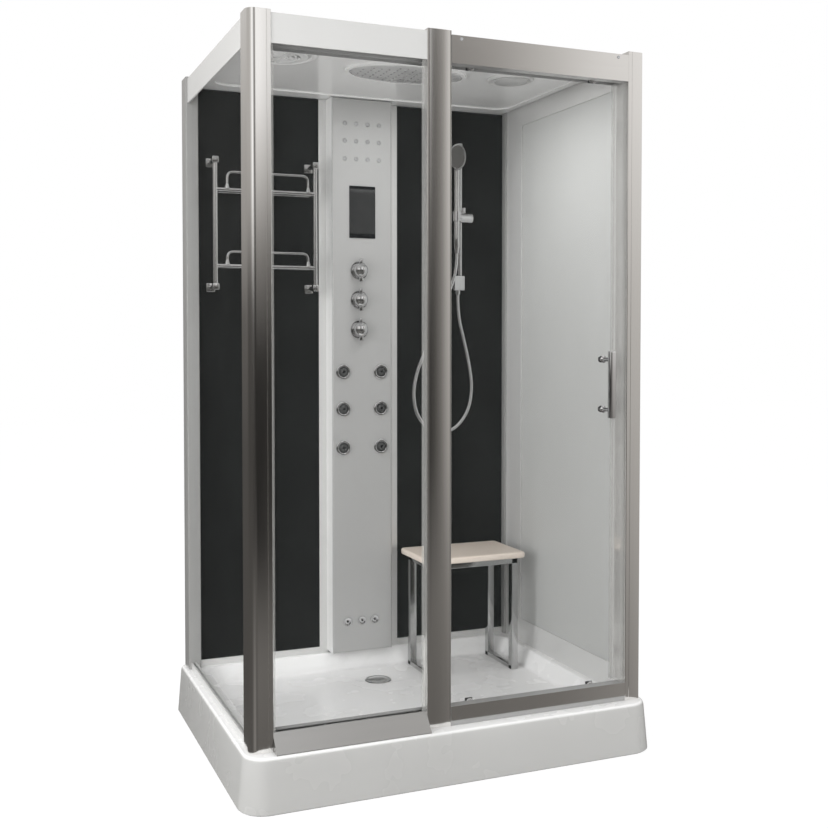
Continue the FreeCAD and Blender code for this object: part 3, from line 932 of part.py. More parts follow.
def jet_bodies():
    """Flanged sockets through the panel with a spigot to the supply pipe."""
    solids = []
    flange_back = COLUMN_FACE - SEAT_GAP
    for x, z in jet_places():
        flange = along_y(x, z, JET_FLANGE_R, JET_FLANGE_FRONT, flange_back)
        flange = flange.makeFillet(3.0, [e for e in flange.Edges if e.BoundBox.YMax < JET_FLANGE_FRONT + 0.01])
        tube = along_y(x, z, JET_TUBE_R, flange_back - 1, JET_TUBE_BACK)
        spigot = along_y(x, z, JET_SPIGOT_R, JET_TUBE_BACK - 1, PIPE_Y - PIPE_R - SEAT_GAP)
        seat = along_y(x, z, JET_SEAT_R, JET_FLANGE_FRONT - 1, JET_TUBE_BACK - 4)
        solids.append(fuse([flange, tube, spigot]).cut(seat))
    return group(solids)


def jet_nozzle(index):
    """Swivelling ball with a water bore, cut flat in front and behind."""
    x, z = jet_places()[index]
    ball = Part.makeSphere(JET_BALL_R, V(x, JET_BALL_Y, z))
    wide = JET_BALL_R + 1
    slab = box(x - wide, x + wide, JET_BALL_FRONT, JET_BALL_BACK, z - wide, z + wide)
    bore = along_y(x, z, JET_BORE_R, JET_BALL_FRONT - 1, JET_BALL_BACK + 1)
    return ball.common(slab).cut(bore)


def spray_nozzles():
    """Small rubber nozzles through the panel into their supply pipes."""
    back = COLUMN_FACE - SEAT_GAP
    solids = []
    for x in SPRAY_XS:
        for z in SPRAY_ZS:
            head = along_y(x, z, SPRAY_HEAD_R, back - SPRAY_PROUD, back)
            stem = along_y(x, z, SPRAY_STEM_R, back - 1, SPRAY_STEM_END)
            solids.append(head.fuse(stem).cut(along_y(x, z, 1.2, back - SPRAY_PROUD - 1, back + 3)))
    return group(solids)


def steam_outlets():
    """Three low round outlets with a bore."""
    back = COLUMN_FACE - SEAT_GAP
    solids = []
    for x in OUTLET_XS:
        flange = along_y(x, OUTLET_Z, OUTLET_R, back - OUTLET_PROUD, back)
        flange = flange.makeFillet(1.5, [e for e in flange.Edges if e.BoundBox.YMax < back - OUTLET_PROUD + 0.01])
        stem = along_y(x, OUTLET_Z, OUTLET_STEM_R, back - 1, OUTLET_STEM_END)
        solids.append(flange.fuse(stem).cut(along_y(x, OUTLET_Z, 3.5, back - OUTLET_PROUD - 1, OUTLET_STEM_END + 1)))
    return group(solids)


def stub_place():
    """XZ of the hose outlet's stub through the back panel."""
    x0, x1, _, z0, z1 = OUTLET_BLOCK
    return (x0 + x1) / 2, (z0 + z1) / 2


def hose_pipe_y():
    """Depth of the pipe that feeds the hose outlet, just behind the stub's end."""
    return STUB_END + SEAT_GAP + PIPE_R


def water_pipes():
    """Supply pipes: jets, spray nozzles, rain head, hose outlet, steam generator and steam outlets."""
    low_z = JET_ZS[-1] - 14
    cross_z = VALVE_ZS[-1] - 56
    manifold_foot, manifold_top = VALVE_ZS[-1] - 26 - SEAT_GAP, VALVE_ZS[0] + 26 + SEAT_GAP
    _, _, _, g_foot, g_top = GENERATOR
    feed_x = (JET_XS[0] + JET_XS[1]) / 2
    header_x0 = JET_XS[0] - HEADER_R
    low = [rod(x, PIPE_Y, low_z, Z, PIPE_R, cross_z - low_z) for x in JET_XS]
    low += [
        rod(header_x0, PIPE_Y, cross_z, X, HEADER_R, JET_XS[1] + HEADER_R - header_x0),
        rod(VALVE_X, PIPE_Y, cross_z, Z, PIPE_R, manifold_foot - cross_z),
        rod(feed_x, PIPE_Y, g_top + SEAT_GAP, Z, PIPE_R, cross_z - g_top - SEAT_GAP),
    ]
    spray_y = SPRAY_STEM_END + SEAT_GAP + SPRAY_PIPE_R
    deck = ROOF_DECK + SEAT_GAP
    rain_z = deck + HEADER_R
    high = [rod(SPRAY_XS[0] - 6, spray_y, z, X, SPRAY_PIPE_R, SPRAY_XS[-1] - SPRAY_XS[0] + 12) for z in SPRAY_ZS]
    high += [
        rod(VALVE_X, spray_y, SPRAY_ZS[-1], Z, SPRAY_PIPE_R - 1, SPRAY_ZS[0] - SPRAY_ZS[-1]),
        along_y(VALVE_X, SPRAY_ZS[1] - 30, LINK_R, spray_y, PIPE_Y),
        rod(VALVE_X, PIPE_Y, manifold_top, Z, PIPE_R, deck + 4 - manifold_top),
        along_y(VALVE_X, rain_z, PIPE_R - 1, OVAL_Y, PIPE_Y),
        rod(VALVE_X, OVAL_Y, deck, Z, HEADER_R, 2 * HEADER_R),
        rod(VALVE_X, PIPE_Y, deck, Z, HEADER_R, 2 * HEADER_R),
    ]
    sx, sz = stub_place()
    back_y = hose_pipe_y()
    link_x = VALVE_X + MANIFOLD_R + 16
    hose_feed = [
        rod(link_x - PIPE_R, back_y, sz, X, PIPE_R, sx + STUB_R - link_x + PIPE_R),
        along_y(link_x, sz, LINK_R + 1, PIPE_Y - LINK_R - 1, back_y),
        rod(VALVE_X + MANIFOLD_R + SEAT_GAP, PIPE_Y, sz, X, LINK_R, 16 - SEAT_GAP),
    ]
    steam_y = OUTLET_STEM_END + SEAT_GAP + PIPE_R
    steam = [
        rod(OUTLET_XS[0] - 8, steam_y, OUTLET_Z, X, PIPE_R, OUTLET_XS[-1] - OUTLET_XS[0] + 16),
        rod(OUTLET_XS[1], steam_y, OUTLET_Z, Z, LINK_R, g_foot - SEAT_GAP - OUTLET_Z),
    ]
    return group([fuse(low), fuse(high), fuse(hose_feed), fuse(steam)])


def steam_generator():
    """Flat boiler housing hung on the frame's back plate, with an access plate on its face."""
    x0, x1, y0, z0, z1 = GENERATOR
    housing = box(x0, x1, y0, FRAME_BACK_FACE - SEAT_GAP, z0, z1)
    housing = housing.makeFillet(4.0, [e for e in housing.Edges if e.BoundBox.YMax < y0 + 0.01])
    plate = box(x0 + 20, x1 - 20, y0 - 2, y0 + 1, z0 + 30, z1 - 60)
    return fuse([housing, plate])


# ---------------------------------------------------------------- towel rack, riser, hand shower
def towel_rack():
    """Two uprights on four wall plates, two shelves of rods, each with a guard rail above its front rod."""
    wall = BACK_PANEL_Y - SEAT_GAP
    parts = []
    for x in RACK_XS:
        parts.append(rod(x, RACK_Y, RACK_FOOT, Z, RACK_TUBE_R, RACK_TOP - RACK_FOOT))
        for z in (RACK_FOOT, RACK_TOP):
            half = RACK_PLATE / 2
            parts.append(along_y(x, z, RACK_ARM_R, RACK_Y, wall - 1))
            parts.append(box(x - half, x + half, wall - RACK_PLATE_THICK, wall, z - half, z + half))
            parts.append(Part.makeSphere(RACK_TUBE_R, V(x, RACK_Y, z)))
    for shelf_z, rise in zip(SHELF_ZS, GUARD_RISE):
        length = RACK_XS[1] - RACK_XS[0]
        middle_y = (RACK_Y + SHELF_BACK_Y) / 2
        parts.append(rod(RACK_XS[0], RACK_Y, shelf_z, X, SHELF_ROD_R, length))
        parts.append(rod(RACK_XS[0], SHELF_BACK_Y, shelf_z, X, SHELF_ROD_R - 2, length))
        parts.append(rod(RACK_XS[0], middle_y, shelf_z, X, SHELF_ROD_R - 2, length))
        for x in RACK_XS:
            parts.append(along_y(x, shelf_z, SHELF_ROD_R - 1, RACK_Y, SHELF_BACK_Y + SHELF_ROD_R))
        g0, g1 = GUARD_XS
        points = [(g0, RACK_Y, shelf_z), (g0, RACK_Y, shelf_z + rise), (g1, RACK_Y, shelf_z + rise), (g1, RACK_Y, shelf_z)]
        rail, _ = bent_tube(points, [GUARD_BEND, GUARD_BEND], GUARD_R)
        parts.append(rail)
        for x in GUARD_XS:
            parts.append(Part.makeCone(SHELF_ROD_R + 3, GUARD_R + 1, 16, V(x, RACK_Y, shelf_z + 2), Z))
    return fuse(parts)


def riser_rail():
    """Upright bar with its upper wall bracket. Its foot stands in the hose outlet's block."""
    wall = BACK_PANEL_Y - SEAT_GAP
    _, _, _, _, block_top = OUTLET_BLOCK
    bar = rod(RISER_X, RISER_Y, block_top + SEAT_GAP, Z, RISER_R, RISER_TOP - block_top - SEAT_GAP)
    arm = along_y(RISER_X, RISER_MOUNT_Z, RISER_ARM_R, RISER_Y, wall - 1)
    flange = along_y(RISER_X, RISER_MOUNT_Z, RISER_FLANGE_R, wall - RISER_FLANGE_THICK, wall)
    cap = Part.makeCylinder(RISER_R + 1.5, 8, V(RISER_X, RISER_Y, RISER_TOP - 4), Z)
    return fuse([bar, arm, flange, cap])


def hose_outlet():
    """Lower bracket of the riser: a block with the water stub behind and the hose nipple below."""
    x0, x1, y0, z0, z1 = OUTLET_BLOCK
    wall = BACK_PANEL_Y - SEAT_GAP
    block = box(x0, x1, y0, wall, z0, z1)
    block = block.makeFillet(5.0, [e for e in block.Edges if e.BoundBox.YMax < y0 + 0.01])
    sx, sz = stub_place()
    stub = along_y(sx, sz, STUB_R, wall - 1, STUB_END)
    nipple = rod(NIPPLE_X, NIPPLE_Y, z0 - NIPPLE_LENGTH, Z, NIPPLE_R, NIPPLE_LENGTH + 1)
    return fuse([block, stub, nipple])


def shower_slider():
    """Cross cylinder on the riser with the clamp knob on top and the ring that holds the handset."""
    body = rod(SLIDER_X0, SLIDER_Y, SLIDER_Z, X, SLIDER_R, SLIDER_X1 - SLIDER_X0)
    body = body.makeFillet(4.0, [e for e in body.Edges if e.BoundBox.XLength < 0.1])
    ring = rod(HANDSET_X, HANDSET_Y, SLIDER_Z - HOLDER_HEIGHT / 2, Z, HOLDER_R, HOLDER_HEIGHT)
    bridge = box(HANDSET_X - 8, HANDSET_X + 10, HANDSET_Y + 10, SLIDER_Y, SLIDER_Z - 9, SLIDER_Z + 9)
    clamp = rod(CLAMP_KNOB_X, SLIDER_Y, SLIDER_Z, Z, CLAMP_KNOB_R, SLIDER_R + CLAMP_KNOB_HEIGHT)
    solid = fuse([body, ring, bridge, clamp])
    tall = SLIDER_R + CLAMP_KNOB_HEIGHT + 10
    bar_hole = rod(RISER_X, RISER_Y, SLIDER_Z - tall, Z, RISER_R + SLIDER_FIT, 2 * tall)
    grip_hole = rod(HANDSET_X, HANDSET_Y, SLIDER_Z - tall, Z, HANDLE_R + HANDSET_GAP, 2 * tall)
    return solid.cut(bar_hole).cut(grip_hole)


def upright_oval(y, half_width, half_height):
    """Ellipse of the spray head, standing at one depth."""
    middle = V(HANDSET_X, y, HEAD_Z)
    rim = Part.Ellipse(middle + V(0, 0, half_height), middle + V(half_width, 0, 0), middle)
    return Part.Wire(rim.toShape())


def hand_shower():
    """Straight handle with an oval spray head, and the hose nut at its lower end."""
    neck_top = HEAD_Z - 8
    handle = rod(HANDSET_X, HANDSET_Y, HANDLE_BOTTOM, Z, HANDLE_R, neck_top - HANDLE_BOTTOM)
    nut = Part.makeCone(HANDLE_R - 4, HANDLE_R - 1, HANDLE_NUT, V(HANDSET_X, HANDSET_Y, HANDLE_BOTTOM - HANDLE_NUT), Z)
    back_y = HANDSET_Y - 4
    small = upright_oval(back_y, HEAD_HALF_WIDTH - HEAD_TAPER, HEAD_HALF_HEIGHT - HEAD_TAPER)
    large = upright_oval(back_y - HEAD_TAPER, HEAD_HALF_WIDTH, HEAD_HALF_HEIGHT)
    front = Part.Face(large).extrude(V(0, HEAD_TAPER - HEAD_THICK, 0))
    front = front.makeFillet(3.0, [e for e in front.Edges if e.BoundBox.YMax < back_y - HEAD_THICK + 0.01])
    head = fuse([Part.makeLoft([small, large], True, True), front])
    head.rotate(V(HANDSET_X, HANDSET_Y, HEAD_Z - HEAD_HALF_HEIGHT), X, HEAD_TILT)
    head.rotate(V(HANDSET_X, HANDSET_Y, HEAD_Z), Z, HEAD_TURN)
    return fuse([handle, nut, head])


def shower_hose():
    """Limp metal hose from the handset's foot down in a loop and up to the outlet's nipple."""
    radii = arc_radii(HOSE_ROUTE)
    hose, length = bent_tube(HOSE_ROUTE, radii, HOSE_R)
    section = math.pi * HOSE_R ** 2
    print("hose radii", [round(r) for r in radii])
    print("hose length", round(length, 1), "volume over section x length", round(hose.Volume / (section * length), 5))
    return hose


# ---------------------------------------------------------------- stool
def stool_frame():
    """Two side frames of square tube with runners, joined by rails under the seat."""
    x0, x1 = STOOL_X0 + LEG_INSET_X, STOOL_X1 - LEG_INSET_X
    y0, y1 = STOOL_Y0 + LEG_INSET_Y, STOOL_Y1 - LEG_INSET_Y
    z0, z1 = STOOL_FLOOR, SEAT_TOP - SEAT_THICK - SEAT_GAP
    rail = z1 - SEAT_RAIL_HEIGHT
    parts = []
    for x in (x0, x1 - LEG):
        parts += [box(x, x + LEG, y, y + LEG, z0, z1) for y in (y0, y1 - LEG)]
        parts.append(box(x, x + LEG, y0, y1, z0, z0 + RUNNER_HEIGHT))
        parts.append(box(x, x + LEG, y0, y1, rail, z1))
    parts += [box(x0, x1, y, y + LEG, rail, z1) for y in (y0, y1 - LEG)]
    return fuse(parts)


def stool_seat():
    """Wooden seat board with rounded edges."""
    board = rounded_box(STOOL_X0, STOOL_X1, STOOL_Y0, STOOL_Y1, SEAT_CORNER, SEAT_TOP - SEAT_THICK, SEAT_TOP)
    return board.makeFillet(SEAT_ROUND, [e for e in board.Edges if e.BoundBox.ZLength < 0.1])


# ---------------------------------------------------------------- roof
def roof():
    """Moulded shell: skirt with a top flange, ceiling plate, lowered pan and the oval round the rain head."""
    w = ROOF_HALF_WIDTH
    shell = box(-w, w, ROOF_FRONT, ROOF_BACK, ROOF_FOOT, ROOF_TOP)
    s = ROOF_SKIN
    shell = shell.cut(box(-w + s, w - s, ROOF_FRONT + s, ROOF_BACK - s, ROOF_FOOT - 1, ROOF_TOP - ROOF_FLANGE))
    cx, cf, cb = CEILING_X, CEILING_FRONT, CEILING_BACK
    drop = box(-cx, cx, cf, cb, CEILING, ROOF_TOP)
    shell = shell.fuse(drop).cut(box(-cx + s, cx - s, cf + s, cb - s, ROOF_DECK, ROOF_TOP + 1))
    shell = shell.cut(rounded_box(-PAN_X, PAN_X, PAN_FRONT, PAN_BACK, PAN_CORNER, CEILING - 1, PAN_CEILING))
    ring = oval(*OVAL_OUTER, PAN_CEILING - OVAL_DROP, PAN_CEILING + 1).cut(
        oval(*OVAL_INNER, PAN_CEILING - OVAL_DROP - 1, PAN_CEILING))
    shell = shell.fuse(ring)
    c = HOLE_CLEARANCE
    for x, y, r in ((FAN_X, FAN_Y, FAN_TUBE_R), (LIGHT_X, LIGHT_Y, LIGHT_LENS_R), (VALVE_X, OVAL_Y, RAIN_SPIGOT_R),
                    (VALVE_X, PIPE_Y, PIPE_R)):
        shell = shell.cut(rod(x, y, CEILING - 1, Z, r + c, CEILING_SKIN + 2))
    pipe_gap = box(VALVE_X - 12, VALVE_X + 12, cb - s - 1, cb + 12, ROOF_DECK, ROOF_TOP + 1)
    shell = shell.cut(pipe_gap)
    for cut in roof_notches():
        shell = shell.cut(cut)
    return shell


def roof_notches():
    """Room in the roof for the posts and the door's header and channel."""
    g = SEAT_GAP
    z0, z1 = ROOF_FOOT - 1, ROOF_TOP + 1
    return [
        box(-CABIN_HALF_WIDTH, FRONT_LEFT_INNER + g, FRONT_FACE, FRONT_POST_BACK + g, z0, z1),
        box(FRONT_RIGHT_INNER - g, CABIN_HALF_WIDTH, FRONT_FACE, FRONT_POST_BACK + g, z0, z1),
        box(-CABIN_HALF_WIDTH, -BACK_POST_INNER + g, BACK_POST_FRONT - g, BACK_POST_BACK, z0, z1),
        box(BACK_POST_INNER - g, CABIN_HALF_WIDTH, BACK_POST_FRONT - g, BACK_POST_BACK, z0, z1),
        box(MIDDLE_LEFT - g, MIDDLE_RIGHT + g, FRONT_FACE, MIDDLE_BACK + g, z0, z1),
        box(MIDDLE_RIGHT, FRONT_RIGHT_INNER, FRONT_FACE, MIDDLE_BACK + g, z0, z1),
        box(FRONT_LEFT_INNER, FRONT_RIGHT_INNER, CHANNEL_FRONT - g, CHANNEL_BACK + g, z0, TOP_RAIL_TOP + g),
    ]


def rain_head():
    """Oval plate in the ceiling's recess with rows of nubs and an inlet spigot."""
    top = PAN_CEILING - SEAT_GAP
    plate = oval(*RAIN_HEAD, top - RAIN_THICK, top)
    parts = [plate, rod(VALVE_X, OVAL_Y, top - 1, Z, RAIN_SPIGOT_R, ROOF_DECK - top + 1)]
    half_x, half_y = RAIN_HEAD
    columns, rows = int(half_x // RAIN_PITCH), int(half_y // RAIN_PITCH)
    for i in range(-columns, columns + 1):
        for j in range(-rows, rows + 1):
            dx, dy = i * RAIN_PITCH, j * RAIN_PITCH
            if (dx / (half_x - 10)) ** 2 + (dy / (half_y - 10)) ** 2 < 1:
                parts.append(rod(OVAL_X + dx, OVAL_Y + dy, top - RAIN_THICK - RAIN_NUB, Z, RAIN_NUB_R, RAIN_NUB + 1))
    return fuse(parts)


def fan_housing():
    """Ceiling fan: ring grille below, tube and motor above, with the shaft."""
    grille_top = PAN_CEILING - SEAT_GAP
    z0 = grille_top - FAN_GRILLE_THICK
    disc = rod(FAN_X, FAN_Y, z0, Z, FAN_GRILLE_R, FAN_GRILLE_THICK)
    disc = disc.makeFillet(3.0, [e for e in disc.Edges if e.BoundBox.ZMax < z0 + 0.01])
    disc = disc.cut(rod(FAN_X, FAN_Y, z0 - 1, Z, FAN_TUBE_R - FAN_WALL, FAN_GRILLE_THICK + 2))
    parts = [disc]
    for r in (44.0, 31.0, 18.0):
        ring = rod(FAN_X, FAN_Y, z0, Z, r + 3, 4).cut(rod(FAN_X, FAN_Y, z0 - 1, Z, r - 3, 6))
        parts.append(ring)
    for i in range(4):
        spoke = box(0, FAN_TUBE_R - FAN_WALL + 1, -3, 3, z0, z0 + 4)
        spoke.rotate(V(0, 0, 0), Z, 90.0 * i)
        spoke.translate(V(FAN_X, FAN_Y, 0))
        parts.append(spoke)
    tube = rod(FAN_X, FAN_Y, grille_top - 1, Z, FAN_TUBE_R, FAN_TOP - grille_top + 1)
    tube = tube.cut(rod(FAN_X, FAN_Y, grille_top - 2, Z, FAN_TUBE_R - FAN_WALL, FAN_TOP - grille_top - 1))
    motor_foot = FAN_ROTOR_FOOT + FAN_ROTOR_HEIGHT + 2
    parts += [
        tube,
        rod(FAN_X, FAN_Y, motor_foot, Z, FAN_HUB_R + 6, FAN_TOP - motor_foot),
        rod(FAN_X, FAN_Y, FAN_ROTOR_FOOT - 2, Z, FAN_SHAFT_R, FAN_TOP - FAN_ROTOR_FOOT),
    ]
    return fuse(parts)


def fan_rotor():
    """Hub with pitched blades."""
    hub = rod(FAN_X, FAN_Y, FAN_ROTOR_FOOT, Z, FAN_HUB_R, FAN_ROTOR_HEIGHT)
    parts = [hub]
    middle = FAN_ROTOR_FOOT + FAN_ROTOR_HEIGHT / 2
    for i in range(FAN_BLADES):
        blade = box(FAN_HUB_R - 4, FAN_ROTOR_R, -BLADE_WIDTH / 2, BLADE_WIDTH / 2, middle - 1, middle + 1)
        blade.rotate(V(0, 0, middle), X, 32.0)
        blade.rotate(V(0, 0, 0), Z, 360.0 * i / FAN_BLADES)
        blade.translate(V(FAN_X, FAN_Y, 0))
        parts.append(blade)
    rotor = fuse(parts)
    return rotor.cut(rod(FAN_X, FAN_Y, FAN_ROTOR_FOOT - 20, Z, FAN_SHAFT_R + AXLE_FIT, 60))


def ceiling_light():
    """Round lamp: a ring under the pan with its housing above, and a shallow domed lens."""
    top = PAN_CEILING - SEAT_GAP
    z0 = top - LIGHT_RING_THICK
    ring = rod(LIGHT_X, LIGHT_Y, z0, Z, LIGHT_RING_R, LIGHT_RING_THICK)
    ring = ring.makeFillet(3.0, [e for e in ring.Edges if e.BoundBox.ZMax < z0 + 0.01])
    housing = rod(LIGHT_X, LIGHT_Y, top - 1, Z, LIGHT_LENS_R, LIGHT_BODY_TOP - top + 1)
    inner = LIGHT_LENS_R - 3
    body = fuse([ring, housing]).cut(rod(LIGHT_X, LIGHT_Y, z0 - 1, Z, inner, LIGHT_BODY_TOP - z0 - 3))
    sphere_r = (inner ** 2 + LIGHT_DOME ** 2) / (2 * LIGHT_DOME)
    lens_r = inner - SEAT_GAP
    seat = z0 + 2
    bulge = Part.makeSphere(sphere_r, V(LIGHT_X, LIGHT_Y, seat - LIGHT_DOME + sphere_r))
    lens = rod(LIGHT_X, LIGHT_Y, seat - LIGHT_DOME - 1, Z, lens_r, LIGHT_DOME + 5).common(bulge)
    return group([body, lens])


# ---------------------------------------------------------------- fasteners
def fasteners():
    """Screws from under the rim into the posts, and the header's face screws."""
    solids = []
    for places in POST_PORTS.values():
        for x, y in places:
            z = RIM_UNDERSIDE - SEAT_GAP
            head = rod(x, y, z - SCREW_HEAD, Z, SCREW_HEAD_R, SCREW_HEAD)
            solids.append(fuse([head, rod(x, y, z - 1, Z, SCREW_R, TRAY_WALL + SCREW_GRIP)]))
    for x, z in header_screws():
        front = FRONT_FACE - SEAT_GAP
        head = along_y(x, z, SCREW_HEAD_R, front - 1.5, front)
        solids.append(fuse([head, along_y(x, z, SCREW_R, front - 1, FRONT_FACE + 14)]))
    return group(solids)


NODES = {
    "tray": tray, "tray_frame": tray_frame, "levelling_feet": levelling_feet, "drain_trap": drain_trap,
    "drain_cover": drain_cover,
    "front_left_post": front_left_post, "middle_post": middle_post, "front_right_post": front_right_post,
    "back_left_post": back_left_post, "back_right_post": back_right_post,
    "front_pane_sill": front_pane_sill, "door_bottom_track": door_bottom_track, "door_top_track": door_top_track,
    "side_profiles": side_profiles,
    "front_fixed_pane": front_fixed_pane, "left_side_pane": left_side_pane, "right_wall_panel": right_wall_panel,
    "back_left_panel": back_left_panel, "back_right_panel": back_right_panel, "pane_seals": pane_seals,
    "door_pane": door_pane, "door_edge_seal": door_edge_seal, "door_handle": door_handle,
    "roller_brackets": roller_brackets,
    "column_frame": column_frame, "column_panel": column_panel, "touch_panel": touch_panel,
    "mixer_valve": mixer_valve, "jet_bodies": jet_bodies, "spray_nozzles": spray_nozzles,
    "steam_outlets": steam_outlets, "water_pipes": water_pipes, "steam_generator": steam_generator,
    "towel_rack": towel_rack, "riser_rail": riser_rail, "hose_outlet": hose_outlet,
    "shower_slider": shower_slider, "hand_shower": hand_shower, "shower_hose": shower_hose,
    "stool_frame": stool_frame, "stool_seat": stool_seat,
    "roof": roof, "rain_head": rain_head, "fan_housing": fan_housing, "fan_rotor": fan_rotor,
    "ceiling_light": ceiling_light, "fasteners": fasteners,
}
KNOB_NAMES = ("temperature_knob", "diverter_knob", "flow_knob")


def main():
    """Writes one STEP file for each node."""
    os.makedirs("parts", exist_ok=True)
    nodes = {name: make() for name, make in NODES.items()}
    nodes.update({name: knob(i) for i, name in enumerate(KNOB_NAMES)})
    nodes.update({place[0]: roller(i) for i, place in enumerate(roller_places())})
    nodes.update({f"jet_nozzle_{i + 1}": jet_nozzle(i) for i in range(len(jet_places()))})
    for name, shape in nodes.items():
        if not shape.isValid():
            print("not valid:", name)
        shape.exportStep(f"parts/{name}.step")
    print(len(nodes), "nodes")


main()
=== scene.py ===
"""Looks of a steam shower cabin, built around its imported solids.

Everything is in metres in the row frame: +Z up, the front is -Y, the origin is the middle of the footprint.
Each sub-assembly is a class that holds its sizes, builds its meshes as numpy surfaces and dresses them.
"""
from __future__ import annotations

import logging
import math
from dataclasses import dataclass, field
from enum import Enum

import bpy
import numpy as np
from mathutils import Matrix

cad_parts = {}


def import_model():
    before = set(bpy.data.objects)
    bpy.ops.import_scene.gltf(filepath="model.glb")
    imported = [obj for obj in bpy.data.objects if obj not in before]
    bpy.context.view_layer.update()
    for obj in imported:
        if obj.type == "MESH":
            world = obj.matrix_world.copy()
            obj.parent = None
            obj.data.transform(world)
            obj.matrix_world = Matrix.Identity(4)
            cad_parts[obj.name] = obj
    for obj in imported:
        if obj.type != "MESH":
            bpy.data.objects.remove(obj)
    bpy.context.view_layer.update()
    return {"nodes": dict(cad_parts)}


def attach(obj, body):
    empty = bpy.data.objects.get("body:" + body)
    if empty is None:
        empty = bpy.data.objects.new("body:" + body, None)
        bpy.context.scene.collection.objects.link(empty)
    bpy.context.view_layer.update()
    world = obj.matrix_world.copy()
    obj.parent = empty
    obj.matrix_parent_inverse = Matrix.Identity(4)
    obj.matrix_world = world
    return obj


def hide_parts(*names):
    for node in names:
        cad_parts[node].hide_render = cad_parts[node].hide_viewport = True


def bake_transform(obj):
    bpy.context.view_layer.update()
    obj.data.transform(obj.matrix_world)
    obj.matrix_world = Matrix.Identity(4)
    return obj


LOG = logging.getLogger("cabin")
Vec = tuple[float, float, float]
CABIN = "cabin"


class Axis(Enum):
    """A world axis as an index into a vector."""

    X = 0
    Y = 1
    Z = 2


# ---------------------------------------------------------------- shader tools
class Wire:
    """A number coming out of a node. Python's operators on it add Math nodes."""

    def __init__(self, shader: Shader, socket: bpy.types.NodeSocket) -> None:
        """Keeps the socket and the material it belongs to."""
        self.shader = shader
        self.socket = socket

    def _maths(self, operation: str, left: object, right: object) -> Wire:
        """One Math node on two values."""
        return self.shader.node("ShaderNodeMath", {"operation": operation}, {0: left, 1: right})

    def __add__(self, other: object) -> Wire:
        """Sum."""
        return self._maths("ADD", self, other)

    __radd__ = __add__

    def __mul__(self, other: object) -> Wire:
        """Product."""
        return self._maths("MULTIPLY", self, other)

    __rmul__ = __mul__

    def __sub__(self, other: object) -> Wire:
        """Difference."""
        return self._maths("SUBTRACT", self, other)

    def __rsub__(self, other: object) -> Wire:
        """Difference with this value taken away."""
        return self._maths("SUBTRACT", other, self)

    def __truediv__(self, other: object) -> Wire:
        """Quotient."""
        return self._maths("DIVIDE", self, other)

    def wave(self) -> Wire:
        """Sine of the value."""
        return self._maths("SINE", self, 0.0)

    def above(self, level: float) -> Wire:
        """1 where the value is above a level, else 0."""
        return self._maths("GREATER_THAN", self, level)


class Shader:
    """A material's node tree with one way to add any node."""

    def __init__(self, name: str) -> None:
        """Starts an empty material.

        Args:
            name: The material's name.
        """
        self.material = bpy.data.materials.new(name)
        self.material.use_nodes = True
        self.tree = self.material.node_tree
        self.tree.nodes.clear()

    def node(self, kind: str, settings: dict | None = None, inputs: dict | None = None, output: int | str = 0) -> Wire:
        """Adds a node.

        Args:
            kind: The node's type.
            settings: Attributes to set first. "stops" gives a ramp's (place, colour) pairs.
            inputs: Values or wires for its sockets, by name or number.
            output: Which output to return.

        Returns:
            The chosen output.
        """
        node = self.tree.nodes.new(kind)
        for key, value in (settings or {}).items():
            if key == "stops":
                ramp = node.color_ramp
                while len(ramp.elements) < len(value):
                    ramp.elements.new(0.5)
                for element, (place, colour) in zip(ramp.elements, value):
                    element.position = place
                    element.color = (*colour, 1.0)
            else:
                setattr(node, key, value)
        for key, value in (inputs or {}).items():
            socket = node.inputs[key]
            if isinstance(value, Wire):
                self.tree.links.new(value.socket, socket)
            elif isinstance(value, tuple) and socket.type == "RGBA":
                socket.default_value = (*value, 1.0)
            else:
                socket.default_value = value
        return Wire(self, node.outputs[output])

    def place(self, scale: Vec = (1.0, 1.0, 1.0)) -> Wire:
        """Object coordinates, stretched by a factor for each axis."""
        where = self.node("ShaderNodeTexCoord", output="Object")
        return self.node("ShaderNodeMapping", inputs={"Vector": where, "Scale": scale})

    def noise(self, scale: float, detail: float = 2.0, stretch: Vec = (1.0, 1.0, 1.0)) -> Wire:
        """Noise from 0 to 1 on object coordinates."""
        inputs = {"Vector": self.place(stretch), "Scale": scale, "Detail": detail, "Roughness": 0.55}
        return self.node("ShaderNodeTexNoise", {"noise_dimensions": "3D"}, inputs, "Fac")

    def along(self, axis: Axis) -> Wire:
        """One object coordinate, in metres."""
        return self.node("ShaderNodeSeparateXYZ", inputs={0: self.place()}, output=axis.value)

    def ramp(self, value: Wire, stops: list[tuple[float, Vec]]) -> Wire:
        """Colour ramp over a value."""
        return self.node("ShaderNodeValToRGB", {"stops": stops}, {0: value}, "Color")

    def mix(self, amount: object, first: object, second: object) -> Wire:
        """Blend of two colours."""
        settings = {"data_type": "RGBA", "clamp_factor": True}
        return self.node("ShaderNodeMix", settings, {0: amount, 6: first, 7: second}, 2)

    def bump(self, height: Wire, distance: float, strength: float = 1.0) -> Wire:
        """Normal of a height, in metres."""
        inputs = {"Height": height, "Distance": distance, "Strength": strength}
        return self.node("ShaderNodeBump", inputs=inputs, output="Normal")

    def surface(self, **inputs: object) -> bpy.types.Material:
        """Closes the tree with a Principled BSDF.

        Args:
            inputs: Socket names with underscores for spaces, and their values or wires.

        Returns:
            The finished material.
        """
        named = {key.replace("_", " "): value for key, value in inputs.items()}
        body = self.node("ShaderNodeBsdfPrincipled", inputs=named)
        self.node_out(body)
        return self.material

    def node_out(self, body: Wire) -> None:
        """Wires a shader into the material's output."""
        out = self.tree.nodes.new("ShaderNodeOutputMaterial")
        self.tree.links.new(body.socket, out.inputs["Surface"])


